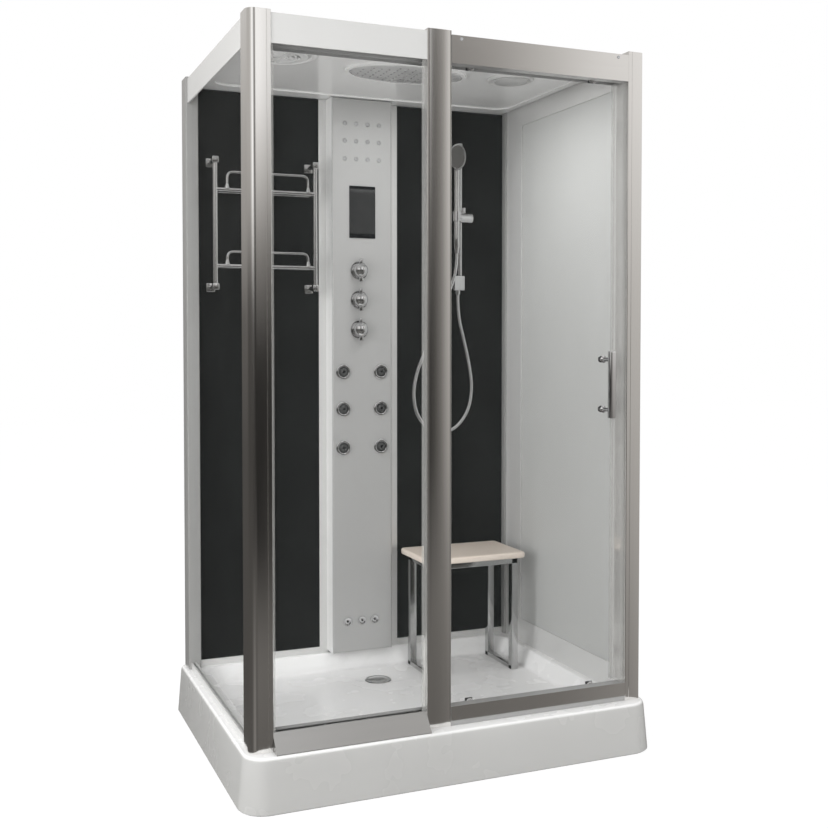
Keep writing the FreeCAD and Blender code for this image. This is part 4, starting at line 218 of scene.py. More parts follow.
# ---------------------------------------------------------------- finishes
@dataclass(frozen=True)
class Acrylic:
    """Moulded white acrylic: glossy, with a faint flow of tone.

    A mesh may carry the attribute "shade": 1 where the outside of the moulding gets painted shade, 0 inside. Where
    "limits" gives a half width and a front, all that lies beyond them gets the painted shade too.
    """

    name: str = "white_acrylic"
    colour: Vec = (0.90, 0.90, 0.895)
    # Painted shade: the darker grey given to the outside of the moulding, not a colour of the acrylic itself.
    shade: Vec = (0.48, 0.48, 0.47)
    roughness: float = 0.24
    coat: float = 0.15
    limits: tuple[float, float] | None = None

    def material(self) -> bpy.types.Material:
        """Builds the finish.

        Returns:
            The material.
        """
        s = Shader(self.name)
        cloud = s.noise(3.0, 3.0)
        # Painted shade: this mask picks the outside faces, which get the darker shade colour instead of the white.
        outside = s.node("ShaderNodeAttribute", {"attribute_name": "shade"}, output="Fac")
        if self.limits:
            side, front = self.limits
            x, y = s.along(Axis.X), s.along(Axis.Y)
            outside = outside + x.above(side) + (0.0 - x).above(side) + (0.0 - y).above(-front)
        base = s.mix(outside, self.colour, self.shade)
        dusk = s.mix(outside, tuple(c * 0.95 for c in self.colour), tuple(c * 0.93 for c in self.shade))
        return s.surface(
            Base_Color=s.mix(cloud, dusk, base),
            Roughness=self.roughness + 0.06 * s.noise(9.0),
            Coat_Weight=self.coat,
        )


@dataclass(frozen=True)
class Brushed:
    """Satin aluminium or stainless section with fine lines along its length."""

    name: str
    axis: Axis
    colour: Vec = (0.97, 0.96, 0.945)
    line: Vec = (0.88, 0.865, 0.85)
    roughness: float = 0.10
    face: float | None = None
    # Painted shade: the duller grey of the faces behind the front face, under and inside the section.
    inside: Vec = (0.36, 0.36, 0.355)

    def material(self) -> bpy.types.Material:
        """Builds the finish: squeezed noise gives lines; behind the face it is painted a duller grey as shade.

        Returns:
            The material.
        """
        s = Shader(self.name)
        stretch = [1.0, 1.0, 1.0]
        stretch[self.axis.value] = 0.008
        lines = s.noise(900.0, 2.0, tuple(stretch))
        broad = s.noise(60.0, 2.0, tuple(stretch))
        colour, metal = s.mix(lines * 0.6 + broad * 0.4, self.line, self.colour), 1.0
        if self.face is not None:
            # Painted shade: behind the face the metal turns into the matt darker grey.
            inner = s.along(Axis.Y).above(self.face)
            colour, metal = s.mix(inner, colour, self.inside), 1.0 - 0.85 * inner
        return s.surface(
            Base_Color=colour,
            Metallic=metal,
            Roughness=self.roughness + 0.05 * lines,
        )


@dataclass(frozen=True)
class Chrome:
    """Polished chrome plate with faint water marks."""

    name: str = "polished_chrome"
    colour: Vec = (0.78, 0.78, 0.79)
    roughness: float = 0.07

    def material(self) -> bpy.types.Material:
        """Builds the finish.

        Returns:
            The material.
        """
        s = Shader(self.name)
        marks = s.noise(38.0, 4.0)
        return s.surface(
            Base_Color=s.mix(marks, tuple(c * 0.92 for c in self.colour), self.colour),
            Metallic=1.0,
            Roughness=self.roughness + 0.06 * marks,
        )


@dataclass(frozen=True)
class ClearGlass:
    """Toughened clear glass, see-through with a faint grey body and smudges in its gloss."""

    name: str = "clear_glass"
    colour: Vec = (0.30, 0.33, 0.32)
    alpha: float = 0.012

    def material(self) -> bpy.types.Material:
        """Builds the finish.

        Returns:
            The material.
        """
        s = Shader(self.name)
        smudge = s.noise(7.0, 3.0)
        return s.surface(Base_Color=self.colour, Roughness=0.03 + 0.05 * smudge, Alpha=self.alpha + 0.02 * smudge)


@dataclass(frozen=True)
class Backed:
    """Opaque backed glass or plastic in one deep colour, glossy with faint wipe marks."""

    name: str
    colour: Vec
    tint: Vec
    roughness: float = 0.10
    gloss: float = 0.25

    def material(self) -> bpy.types.Material:
        """Builds the finish.

        Returns:
            The material.
        """
        s = Shader(self.name)
        wipe = s.noise(5.0, 4.0, (1.0, 1.0, 0.3))
        return s.surface(
            Base_Color=s.mix(wipe, self.colour, self.tint),
            Roughness=self.roughness + 0.08 * wipe,
            Specular_IOR_Level=self.gloss,
        )


@dataclass(frozen=True)
class Screen:
    """Dark touch screen: black bands at the head and the foot, and a dim uneven field between them."""

    name: str = "touch_screen"
    foot: float = 1.628
    height: float = 0.183

    def material(self) -> bpy.types.Material:
        """Builds the finish: a ramp over the height, mottled by noise.

        Returns:
            The material.
        """
        s = Shader(self.name)
        share = (s.along(Axis.Z) - self.foot) / self.height
        black, dim = (0.003, 0.003, 0.004), (0.038, 0.038, 0.038)
        stops = [(0.0, black), (0.075, black), (0.10, dim), (0.86, dim), (0.93, (0.085, 0.085, 0.085)), (0.95, black)]
        field_tone = s.ramp(share, stops)
        mottle = s.noise(46.0, 3.0)
        return s.surface(
            Base_Color=s.mix(mottle * 0.7, field_tone, black),
            Roughness=0.12 + 0.12 * mottle,
            Specular_IOR_Level=0.12,
        )


@dataclass(frozen=True)
class Lacquer:
    """Silver metallic lacquer: a fine flake over a satin base."""

    name: str = "silver_lacquer"
    colour: Vec = (0.42, 0.42, 0.415)
    flake: Vec = (0.51, 0.51, 0.505)
    metal: float = 0.35
    roughness: float = 0.30
    edge: float = -9.0
    # Painted highlight: the pale matt colour of the return left of the edge, standing in for its bright reflection.
    painted_highlight_colour: Vec = (0.80, 0.80, 0.79)

    def material(self) -> bpy.types.Material:
        """Builds the finish; left of the edge's X the return is painted paler and matt, a painted bright reflection.

        Returns:
            The material.
        """
        s = Shader(self.name)
        grain = s.noise(2600.0, 1.0)
        face = s.mix(grain, self.colour, self.flake)
        # 1 on the metallic face; 0 on the return, which carries the painted highlight.
        inner = s.along(Axis.X).above(self.edge)
        return s.surface(
            Base_Color=s.mix(inner, self.painted_highlight_colour, face),
            Metallic=self.metal * inner,
            Roughness=self.roughness + 0.08 * grain,
            Normal=s.bump(grain, 0.00002, 0.3),
        )


@dataclass(frozen=True)
class Moulded:
    """Plain moulded plastic or rubber with a fine grain."""

    name: str
    colour: Vec
    roughness: float = 0.5

    def material(self) -> bpy.types.Material:
        """Builds the finish.

        Returns:
            The material.
        """
        s = Shader(self.name)
        grain = s.noise(900.0, 2.0)
        dark = tuple(c * 0.86 for c in self.colour)
        return s.surface(
            Base_Color=s.mix(s.noise(30.0, 3.0), dark, self.colour),
            Roughness=self.roughness + 0.10 * grain,
            Normal=s.bump(grain, 0.00004, 0.5),
        )


@dataclass(frozen=True)
class Timber:
    """Pale lacquered hardwood with its grain along X."""

    name: str = "pale_timber"
    light: Vec = (0.82, 0.74, 0.66)
    dark: Vec = (0.71, 0.61, 0.52)

    def material(self) -> bpy.types.Material:
        """Builds the finish: stretched noise bends fine bands, and pores lie along the grain.

        Returns:
            The material.
        """
        s = Shader(self.name)
        drift = s.noise(9.0, 3.0, (0.12, 1.0, 1.0))
        bands = ((s.along(Axis.Y) * 420.0 + drift * 22.0).wave() + 1.0) * 0.5
        pores = s.noise(520.0, 2.0, (0.04, 1.0, 1.0))
        tone = bands * 0.35 + drift * 0.4 + pores * 0.25
        return s.surface(
            Base_Color=s.mix(tone, self.light, self.dark),
            Roughness=0.42 + 0.15 * pores,
            Normal=s.bump(pores, 0.00008, 0.5),
            Coat_Weight=0.1,
        )


@dataclass
class Palette:
    """All the finishes of the cabin, made once."""

    made: dict[str, bpy.types.Material] = field(default_factory=dict)

    def get(self, finish: object) -> bpy.types.Material:
        """The material of a finish, built on first use."""
        if finish.name not in self.made:
            self.made[finish.name] = finish.material()
        return self.made[finish.name]


PALETTE = Palette()
ACRYLIC = Acrylic()
# Painted shade: the roof's outside, past the half width and in front of the front limit, gets the darker shade colour.
ROOF_ACRYLIC = Acrylic("roof_acrylic", (0.83, 0.83, 0.825), (0.66, 0.66, 0.65), 0.16, limits=(0.600, -0.420))
UPRIGHT = Brushed("upright_aluminium", Axis.Z)
# Painted shade on the rail's faces behind its front face.
RAIL = Brushed("rail_aluminium", Axis.X, face=-0.4345)
CHROME = Chrome()
SATIN_CHROME = Chrome("satin_chrome", (0.80, 0.80, 0.80), 0.16)
STOOL_CHROME = Chrome("stool_chrome", (0.50, 0.50, 0.50), 0.08)
GLASS = ClearGlass()
FROSTED = Backed("frosted_glass", (0.47, 0.475, 0.465), (0.50, 0.505, 0.495), 0.35)
BLACK_PANEL = Backed("black_panel", (0.005, 0.005, 0.005), (0.008, 0.008, 0.008), 0.14, 0.07)
# Painted highlight on the column panel's left return, left of x = -0.1212.
SILVER = Lacquer(edge=-0.1212)
SATIN = Lacquer("satin_aluminium", (0.66, 0.66, 0.65), (0.76, 0.76, 0.75), 0.30, 0.26)
# Painted shade: a darker copy of the satin aluminium, used for the back posts.
BACK_SATIN_PAINTED_SHADE = Lacquer("back_post_painted_shade_aluminium", (0.33, 0.33, 0.325), (0.40, 0.40, 0.39), 0.30, 0.26)
SILL = Brushed("sill_stainless", Axis.X, (0.54, 0.54, 0.535), (0.47, 0.47, 0.465), 0.22)
DISPLAY = Screen()
SEAL = ClearGlass("clear_seal", (0.62, 0.62, 0.60), 0.26)
NYLON = Moulded("white_nylon", (0.66, 0.66, 0.65), 0.4)
NOZZLE = Moulded("nozzle_rubber", (0.05, 0.05, 0.05), 0.45)
SPRAY = Moulded("spray_rubber", (0.34, 0.34, 0.34), 0.30)
PIPE = Moulded("grey_pipe", (0.55, 0.56, 0.58), 0.4)
ZINC = Moulded("zinc_steel", (0.42, 0.43, 0.44), 0.35)
TIMBER = Timber()
LENS = Moulded("opal_lens", (0.46, 0.46, 0.455), 0.25)
RING = Moulded("lamp_ring", (0.60, 0.60, 0.59), 0.3)
RAIN_FACE = Moulded("rain_face", (0.50, 0.50, 0.50), 0.3)


# ---------------------------------------------------------------- mesh tools
def rounded_outline(x0: float, x1: float, y0: float, y1: float, front: float, back: float,
                    steps: int = 10) -> np.ndarray:
    """Rectangle with round corners: each corner is a quarter circle of points about its own centre.

    Args:
        x0, x1, y0, y1: The rectangle's sides.
        front, back: Corner radii at y0 and at y1.
        steps: Points on each quarter circle.

    Returns:
        (4 * steps, 2) points, counter-clockwise from the front right corner.
    """
    turn = np.linspace(0.0, math.pi / 2, steps)
    corners = []
    for cx, cy, radius, start in (
        (x1 - front, y0 + front, front, -math.pi / 2),
        (x1 - back, y1 - back, back, 0.0),
        (x0 + back, y1 - back, back, math.pi / 2),
        (x0 + front, y0 + front, front, math.pi),
    ):
        angle = start + turn
        corners.append(np.stack([cx + radius * np.cos(angle), cy + radius * np.sin(angle)], axis=1))
    return np.concatenate(corners)


def grid_faces(rows: int, columns: int, close_rows: bool, close_columns: bool) -> np.ndarray:
    """Quads between neighbours of a grid of points, wrapped round where it is closed.

    Args:
        rows, columns: The grid's size.
        close_rows, close_columns: Whether it wraps round that way.

    Returns:
        (faces, 4) point numbers.
    """
    r = np.arange(rows if close_rows else rows - 1)[:, None]
    c = np.arange(columns if close_columns else columns - 1)[None, :]
    r2, c2 = (r + 1) % rows, (c + 1) % columns
    quads = [r * columns + c, r * columns + c2, r2 * columns + c2, r2 * columns + c]
    return np.stack(np.broadcast_arrays(*quads), axis=-1).reshape(-1, 4)


def put_mesh(name: str, points: np.ndarray, faces: list, smooth_angle: float = 35.0) -> bpy.types.Object:
    """Makes an object at the origin from points and faces, smooth except over sharp turns.

    Args:
        name: The object's name.
        points: Its points, in any array that ends in x, y, z.
        faces: Point numbers of each face.
        smooth_angle: Turns sharper than this stay sharp, in degrees.

    Returns:
        The object.
    """
    mesh = bpy.data.meshes.new(name)
    mesh.from_pydata(points.reshape(-1, 3).tolist(), [], [list(map(int, f)) for f in faces])
    mesh.validate()
    mesh.polygons.foreach_set("use_smooth", np.ones(len(mesh.polygons), bool))
    mesh.set_sharp_from_angle(angle=math.radians(smooth_angle))
    piece = bpy.data.objects.new(name, mesh)
    bpy.context.scene.collection.objects.link(piece)
    return piece


def skin(name: str, grid: np.ndarray, close_rows: bool = False, close_columns: bool = True,
         lids: tuple[bool, bool] = (False, False), smooth_angle: float = 35.0) -> bpy.types.Object:
    """Surface over a grid of rings.

    Args:
        name: The object's name.
        grid: (rows, columns, 3) points; each row is one ring.
        close_rows, close_columns: Whether the grid wraps round that way.
        lids: Whether the first and the last ring are filled with one face.
        smooth_angle: Turns sharper than this stay sharp, in degrees.

    Returns:
        The object.
    """
    rows, columns = grid.shape[:2]
    faces = grid_faces(rows, columns, close_rows, close_columns).tolist()
    if lids[0]:
        faces.append(list(range(columns))[::-1])
    if lids[1]:
        faces.append([(rows - 1) * columns + i for i in range(columns)])
    return put_mesh(name, grid, faces, smooth_angle)


def join(name: str, pieces: list[bpy.types.Object], smooth_angle: float = 35.0) -> bpy.types.Object:
    """One object from several, with doubles kept apart so that each shell stays closed.

    Args:
        name: The object's name.
        pieces: The objects, which are used up.
        smooth_angle: Turns sharper than this stay sharp, in degrees.

    Returns:
        The new object.
    """
    points, faces, start = [], [], 0
    for piece in pieces:
        mesh = piece.data
        co = np.empty(len(mesh.vertices) * 3)
        mesh.vertices.foreach_get("co", co)
        points.append(co.reshape(-1, 3))
        faces += [[v + start for v in face.vertices] for face in mesh.polygons]
        start += len(mesh.vertices)
        bpy.data.objects.remove(piece)
        bpy.data.meshes.remove(mesh)
    return put_mesh(name, np.concatenate(points), faces, smooth_angle)


def turned(name: str, profile: list[tuple[float, float]], base: Vec, axis: Vec, steps: int = 32,
           smooth_angle: float = 35.0) -> bpy.types.Object:
    """Solid of revolution: each (radius, height) of the profile becomes a circle about the axis.

    Args:
        name: The object's name.
        profile: (radius, height) pairs.
        base: Where height 0 lies on the axis.
        axis: Direction of growing height.
        steps: Points on each circle.
        smooth_angle: Turns sharper than this stay sharp, in degrees.

    Returns:
        The object.
    """
    direction = np.array(axis) / np.linalg.norm(axis)
    helper = np.array((1.0, 0.0, 0.0)) if abs(direction[0]) < 0.9 else np.array((0.0, 1.0, 0.0))
    side = np.cross(direction, helper)
    side /= np.linalg.norm(side)
    other = np.cross(direction, side)
    angle = np.linspace(0.0, 2 * math.pi, steps, endpoint=False)
    radius, height = np.array(profile).T
    circle = np.cos(angle)[:, None] * side + np.sin(angle)[:, None] * other
    grid = np.array(base) + radius[:, None, None] * circle + height[:, None, None] * direction
    return skin(name, grid, lids=(radius[0] > 0, radius[-1] > 0), smooth_angle=smooth_angle)


def bent_path(points: list[Vec], radius: float, steps: int = 6) -> np.ndarray:
    """Straight runs joined by arcs: each corner is a quadratic curve that leaves and meets its runs on a tangent.

    Args:
        points: The route's corners.
        radius: How far from a corner its curve starts.
        steps: Points on each curve.

    Returns:
        (n, 3) points.
    """
    p = np.array(points, float)
    out = [p[:1]]
    t = np.linspace(0.0, 1.0, steps)[:, None]
    for before, corner, after in zip(p[:-2], p[1:-1], p[2:]):
        a, b = before - corner, after - corner
        reach = min(radius, 0.49 * np.linalg.norm(a), 0.49 * np.linalg.norm(b))
        start = corner + a / np.linalg.norm(a) * reach
        end = corner + b / np.linalg.norm(b) * reach
        out.append((1 - t) ** 2 * start + 2 * t * (1 - t) * corner + t ** 2 * end)
    out.append(p[-1:])
    return np.concatenate(out)


def path_frames(path: np.ndarray) -> tuple[np.ndarray, np.ndarray]:
    """Two side vectors at each point of a path, carried along without twist.

    Args:
        path: (n, 3) points.

    Returns:
        The side vectors, and the vectors across both them and the path.
    """
    ahead = np.gradient(path, axis=0)
    ahead /= np.linalg.norm(ahead, axis=1)[:, None]
    side = np.empty_like(path)
    start = np.array((0.0, 0.0, 1.0)) if abs(ahead[0, 2]) < 0.9 else np.array((1.0, 0.0, 0.0))
    previous = np.cross(ahead[0], start)
    for i, direction in enumerate(ahead):
        previous = previous - direction * np.dot(previous, direction)
        previous /= np.linalg.norm(previous)
        side[i] = previous
    return side, np.cross(ahead, side)


def tube(name: str, path: np.ndarray, radius: float | np.ndarray, sides: int = 16) -> bpy.types.Object:
    """Round tube: a circle carried along a path.

    Args:
        name: The object's name.
        path: (n, 3) points.
        radius: One radius, or one for each point.
        sides: Points on each circle.

    Returns:
        The object.
    """
    side, up = path_frames(path)
    angle = np.linspace(0.0, 2 * math.pi, sides, endpoint=False)
    r = np.broadcast_to(np.asarray(radius, float), (len(path),))[:, None, None]
    ring = np.cos(angle)[None, :, None] * side[:, None, :] + np.sin(angle)[None, :, None] * up[:, None, :]
    return skin(name, path[:, None, :] + r * ring, lids=(True, True))


def upright(name: str, outline: np.ndarray, z0: float, z1: float, ease: float = 0.0008) -> bpy.types.Object:
    """Section stood upright: its outline at each height, drawn in by a small ease at both ends.

    Args:
        name: The object's name.
        outline: (n, 2) points of the section.
        z0, z1: Its foot and top.
        ease: How far the ends are drawn in.

    Returns:
        The object.
    """
    low, high = outline.min(axis=0), outline.max(axis=0)
    middle, half = (low + high) / 2, (high - low) / 2
    drawn = middle + (outline - middle) * (1 - ease / half)
    rings = [(drawn, z0), (outline, z0 + ease), (outline, z1 - ease), (drawn, z1)]
    grid = np.stack([np.column_stack([ring, np.full(len(ring), z)]) for ring, z in rings])
    return skin(name, grid, lids=(True, True))


def block(name: str, low: Vec, high: Vec, ease: float = 0.001, steps: int = 3) -> bpy.types.Object:
    """Box with all its edges eased: a rounded outline that is drawn in over quarter circles at top and bottom.

    Args:
        name: The object's name.
        low, high: Opposite corners.
        ease: Radius of its edges.
        steps: Points on each quarter circle.

    Returns:
        The object.
    """
    x0, y0, z0 = low
    x1, y1, z1 = high
    turn = np.linspace(0.0, math.pi / 2, steps)
    inset = ease * (1 - np.sin(turn))
    rise = ease * (1 - np.cos(turn))
    rings = [(i, z0 + r) for i, r in zip(inset, rise)] + [(i, z1 - r) for i, r in zip(inset[::-1], rise[::-1])]
    grid = []
    for inward, z in rings:
        corner = max(ease - inward, ease * 0.05)
        outline = rounded_outline(x0 + inward, x1 - inward, y0 + inward, y1 - inward, corner, corner, steps)
        grid.append(np.column_stack([outline, np.full(len(outline), z)]))
    return skin(name, np.stack(grid), lids=(True, True), smooth_angle=50.0)


@dataclass
class Assembly:
    """Base of the sub-assemblies: knows how to dress a piece and to report it."""

    body: str = CABIN

    def dress(self, piece: bpy.types.Object, finish: object, slot: str, nodes: tuple[str, ...] = (),
              body: str | None = None) -> bpy.types.Object:
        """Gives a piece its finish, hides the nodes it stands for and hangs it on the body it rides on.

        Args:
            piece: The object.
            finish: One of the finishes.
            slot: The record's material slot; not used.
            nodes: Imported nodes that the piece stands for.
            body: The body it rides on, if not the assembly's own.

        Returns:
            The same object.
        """
        piece.data.materials.clear()
        piece.data.materials.append(PALETTE.get(finish))
        if nodes:
            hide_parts(*nodes)
        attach(piece, body or self.body)
        LOG.info("%s on %s, %d faces", piece.name, body or self.body, len(piece.data.polygons))
        return piece


# ---------------------------------------------------------------- studio
# Reflected studio: for directions of growing X, (height, grey) pairs over the direction's Z.
SKY = (
    (-0.90, ((-0.45, 0.10), (-0.10, 0.05), (0.04, 0.06), (0.12, 0.35), (0.20, 0.45), (0.40, 0.50))),
    (-0.50, ((-0.45, 0.20), (-0.30, 0.20), (-0.18, 0.04), (0.03, 0.05), (0.09, 0.60), (0.14, 1.0), (0.40, 1.0))),
    (-0.12, ((-0.45, 0.10), (-0.25, 0.10), (-0.12, 0.02), (0.05, 0.03), (0.20, 0.14), (0.40, 0.30))),
    (0.20, ((-0.45, 0.10), (-0.36, 0.11), (-0.28, 0.15), (-0.19, 0.014), (-0.01, 0.014), (0.08, 0.20), (0.17, 0.67),
            (0.22, 1.0), (0.40, 1.0))),
    (0.255, ((-0.45, 0.10), (-0.36, 0.11), (-0.28, 0.15), (-0.19, 0.014), (-0.01, 0.014), (0.08, 0.20), (0.17, 0.67),
             (0.22, 1.0), (0.40, 1.0))),
    (0.29, ((-0.45, 0.10), (-0.31, 0.12), (-0.23, 0.14), (-0.10, 0.035), (0.04, 0.04), (0.17, 0.08), (0.26, 0.11),
            (0.40, 0.50))),
    (0.33, ((-0.45, 0.10), (-0.31, 0.12), (-0.23, 0.14), (-0.10, 0.04), (0.04, 0.05), (0.17, 0.09), (0.26, 0.11),
            (0.40, 0.50))),
    (0.39, ((-0.45, 0.12), (-0.31, 0.13), (-0.23, 0.15), (-0.10, 0.10), (0.04, 0.12), (0.17, 0.16), (0.26, 0.20),
            (0.40, 0.60))),
    (0.43, ((-0.45, 0.12), (-0.31, 0.14), (-0.23, 0.16), (-0.10, 0.16), (0.04, 0.19), (0.17, 0.24), (0.26, 0.27),
            (0.40, 0.70))),
    (0.475, ((-0.45, 0.14), (-0.31, 0.14), (-0.23, 0.18), (-0.10, 0.28), (0.04, 0.34), (0.17, 0.43), (0.26, 0.49),
             (0.40, 0.80))),
    (0.52, ((-0.45, 0.20), (-0.29, 0.22), (-0.23, 0.24), (-0.10, 0.36), (0.04, 0.46), (0.17, 0.66), (0.26, 0.77),
            (0.40, 0.90))),
    (0.56, ((-0.45, 0.22), (-0.29, 0.27), (-0.14, 0.38), (0.04, 0.50), (0.21, 0.74), (0.30, 0.82), (0.40, 0.95))),
)
# The same for directions that go on past the object: (height, grey) pairs.
BEHIND = ((-0.45, 0.14), (-0.30, 0.07), (-0.10, 0.07), (0.02, 0.11), (0.10, 0.30), (0.20, 0.42), (0.40, 0.80))


@dataclass(frozen=True)
class Lamp:
    """A square soft lamp: where it stands, what it faces, its side in metres and its power in watts."""

    name: str
    place: Vec
    aim: Vec
    size: float
    watts: float


LAMPS = (
    Lamp("key", (-2.6, -3.6, 3.4), (0.0, 0.0, 1.1), 2.6, 50.0),
    Lamp("fill", (2.4, -4.2, 1.6), (0.1, 0.0, 1.0), 2.4, 24.0),
    Lamp("back", (0.0, 3.4, 3.2), (0.0, 0.0, 1.2), 2.6, 40.0),
    Lamp("low", (-2.5, -1.0, 1.25), (0.5, 0.1, 1.0), 2.0, 42.0),
    Lamp("under", (0.95, -2.4, 0.30), (0.50, 0.1, 2.1), 0.9, 12.0),
    Lamp("inside", (0.10, -0.14, 2.105), (0.10, -0.1399, 0.0), 0.40, 4.5),
)


@dataclass
class Studio:
    """Camera, lamps, world and floor."""

    eye: Vec = (-1.330, -3.311, 1.270)
    turn_degrees: Vec = (88.273, 0.0, -22.551)
    lens: float = 47.84
    shift: tuple[float, float] = (-0.0022, -0.0496)
    floor_half: float = 14.0
    ambient: Vec = (0.72, 0.72, 0.72)

    def camera(self) -> None:
        """The photograph's viewpoint."""
        data = bpy.data.cameras.new("camera")
        data.lens = self.lens
        data.sensor_width = 36.0
        data.shift_x, data.shift_y = self.shift
        data.clip_end = 60.0
        camera = bpy.data.objects.new("camera", data)
        camera.location = self.eye
        camera.rotation_euler = [math.radians(a) for a in self.turn_degrees]
        bpy.context.scene.collection.objects.link(camera)
        bpy.context.scene.camera = camera

    def lamp(self, lamp: Lamp) -> None:
        """Hangs a lamp, turned to its aim. Reflections see the world's columns instead of it.

        Args:
            lamp: The lamp's place, aim, size and power.
        """
        data = bpy.data.lights.new(lamp.name, "AREA")
        data.shape = "SQUARE"
        data.size = lamp.size
        data.energy = lamp.watts
        light = bpy.data.objects.new(lamp.name, data)
        light.visible_camera = False
        light.visible_glossy = False
        light.location = lamp.place
        direction = np.array(lamp.aim) - np.array(lamp.place)
        yaw = math.atan2(direction[1], direction[0])
        pitch = math.atan2(direction[2], math.hypot(direction[0], direction[1]))
        light.rotation_euler = (math.pi / 2 + pitch, 0.0, yaw - math.pi / 2)
        bpy.context.scene.collection.objects.link(light)

    def sky(self, tree: bpy.types.NodeTree, height: bpy.types.NodeSocket, stops: tuple) -> bpy.types.NodeSocket:
        """Brightness of the reflected studio over the height of a direction, as (height, grey) pairs.

        Args:
            tree: The world's nodes.
            height: Height of a ray's direction.
            stops: (height, grey) pairs.

        Returns:
            The brightness.
        """
        spread = tree.nodes.new("ShaderNodeMapRange")
        spread.inputs["From Min"].default_value = stops[0][0]
        spread.inputs["From Max"].default_value = stops[-1][0]
        tree.links.new(height, spread.inputs["Value"])
        ramp = tree.nodes.new("ShaderNodeValToRGB")
        low, high = stops[0][0], stops[-1][0]
        while len(ramp.color_ramp.elements) < len(stops):
            ramp.color_ramp.elements.new(0.5)
        for element, (place, grey) in zip(ramp.color_ramp.elements, stops):
            element.position = (place - low) / (high - low)
            element.color = (grey, grey * (0.94 + 0.05 * grey), grey * (0.87 + 0.11 * grey), 1.0)
        tree.links.new(spread.outputs[0], ramp.inputs[0])
        return ramp.outputs[0]

    def blend(self, tree: bpy.types.NodeTree, value: bpy.types.NodeSocket, span: tuple[float, float],
              low: bpy.types.NodeSocket, high: bpy.types.NodeSocket) -> bpy.types.NodeSocket:
        """Goes smoothly from one colour to another while a value crosses a span.

        Args:
            tree: The world's nodes.
            value: What crosses the span.
            span: Where the change starts and ends.
            low, high: The colours before and after it.

        Returns:
            The blended colour.
        """
        share = tree.nodes.new("ShaderNodeMapRange")
        share.interpolation_type = "SMOOTHSTEP"
        share.inputs["From Min"].default_value, share.inputs["From Max"].default_value = span
        tree.links.new(value, share.inputs["Value"])
        mix = tree.nodes.new("ShaderNodeMix")
        mix.data_type = "RGBA"
        for source, socket in ((share.outputs[0], mix.inputs[0]), (low, mix.inputs[6]), (high, mix.inputs[7])):
            tree.links.new(source, socket)
        return mix.outputs[2]

    def world(self) -> None:
        """White to the camera, a soft grey to diffuse surfaces, and graded from pale to grey in reflections."""
        world = bpy.data.worlds.new("studio")
        bpy.context.scene.world = world
        world.use_nodes = True
        tree = world.node_tree
        tree.nodes.clear()
        rays = tree.nodes.new("ShaderNodeLightPath")
        way = tree.nodes.new("ShaderNodeTexCoord")
        split = tree.nodes.new("ShaderNodeSeparateXYZ")
        tree.links.new(way.outputs["Generated"], split.inputs[0])
        front, before = None, 0.0
        for place, stops in SKY:
            column = self.sky(tree, split.outputs["Z"], stops)
            front = column if front is None else self.blend(tree, split.outputs["X"], (before, place), front, column)
            before = place
        rear = self.sky(tree, split.outputs["Z"], BEHIND)
        graded = self.blend(tree, split.outputs["Y"], (0.0, 0.5), front, rear)
        seen = tree.nodes.new("ShaderNodeMix")
        seen.data_type = "RGBA"
        seen.inputs[6].default_value = (*self.ambient, 1.0)
        tree.links.new(rays.outputs["Is Glossy Ray"], seen.inputs[0])
        tree.links.new(graded, seen.inputs[7])
        clear = tree.nodes.new("ShaderNodeMath")
        clear.operation = "MAXIMUM"
        tree.links.new(rays.outputs["Is Camera Ray"], clear.inputs[0])
        tree.links.new(rays.outputs["Is Transmission Ray"], clear.inputs[1])
        white = tree.nodes.new("ShaderNodeMix")
        white.data_type = "RGBA"
        white.inputs[7].default_value = (1.0, 1.0, 1.0, 1.0)
        tree.links.new(clear.outputs[0], white.inputs[0])
        tree.links.new(seen.outputs[2], white.inputs[6])
        background = tree.nodes.new("ShaderNodeBackground")
        tree.links.new(white.outputs[2], background.inputs["Color"])
        out = tree.nodes.new("ShaderNodeOutputWorld")
        tree.links.new(background.outputs[0], out.inputs["Surface"])

    def floor(self) -> None:
        """Pale floor: nearly white to the camera with a faint shadow, plain to diffuse rays, clear to reflections."""
        h = self.floor_half
        grid = np.array([[(-h, -h, 0.0), (h, -h, 0.0)], [(-h, h, 0.0), (h, h, 0.0)]])
        floor = skin("studio_floor", grid, close_columns=False)
        s = Shader("floor_white")
        rays = s.node("ShaderNodeLightPath", output="Is Camera Ray")
        through = s.node("ShaderNodeLightPath", output="Is Transmission Ray")
        mirrored = s.node("ShaderNodeLightPath", output="Is Glossy Ray")
        seen = s.node("ShaderNodeMath", {"operation": "MAXIMUM"}, {0: rays, 1: through})
        matt = s.node("ShaderNodeBsdfDiffuse", inputs={"Color": (0.62, 0.61, 0.60)})
        white = s.node("ShaderNodeEmission", inputs={"Color": (1.0, 1.0, 1.0), "Strength": 0.90})
        veil = s.node("ShaderNodeBsdfDiffuse", inputs={"Color": (0.14, 0.14, 0.14)})
        bright = s.node("ShaderNodeAddShader", inputs={0: white, 1: veil})
        clear = s.node("ShaderNodeBsdfTransparent")
        first = s.node("ShaderNodeMixShader", inputs={0: mirrored, 1: matt, 2: clear})
        s.node_out(s.node("ShaderNodeMixShader", inputs={0: seen, 1: first, 2: bright}))
        floor.data.materials.append(s.material)

    def build(self) -> None:
        """Sets the whole studio."""
        bpy.context.scene.view_settings.view_transform = "Standard"
        self.camera()
        self.world()
        self.floor()
        for lamp in LAMPS:
            self.lamp(lamp)


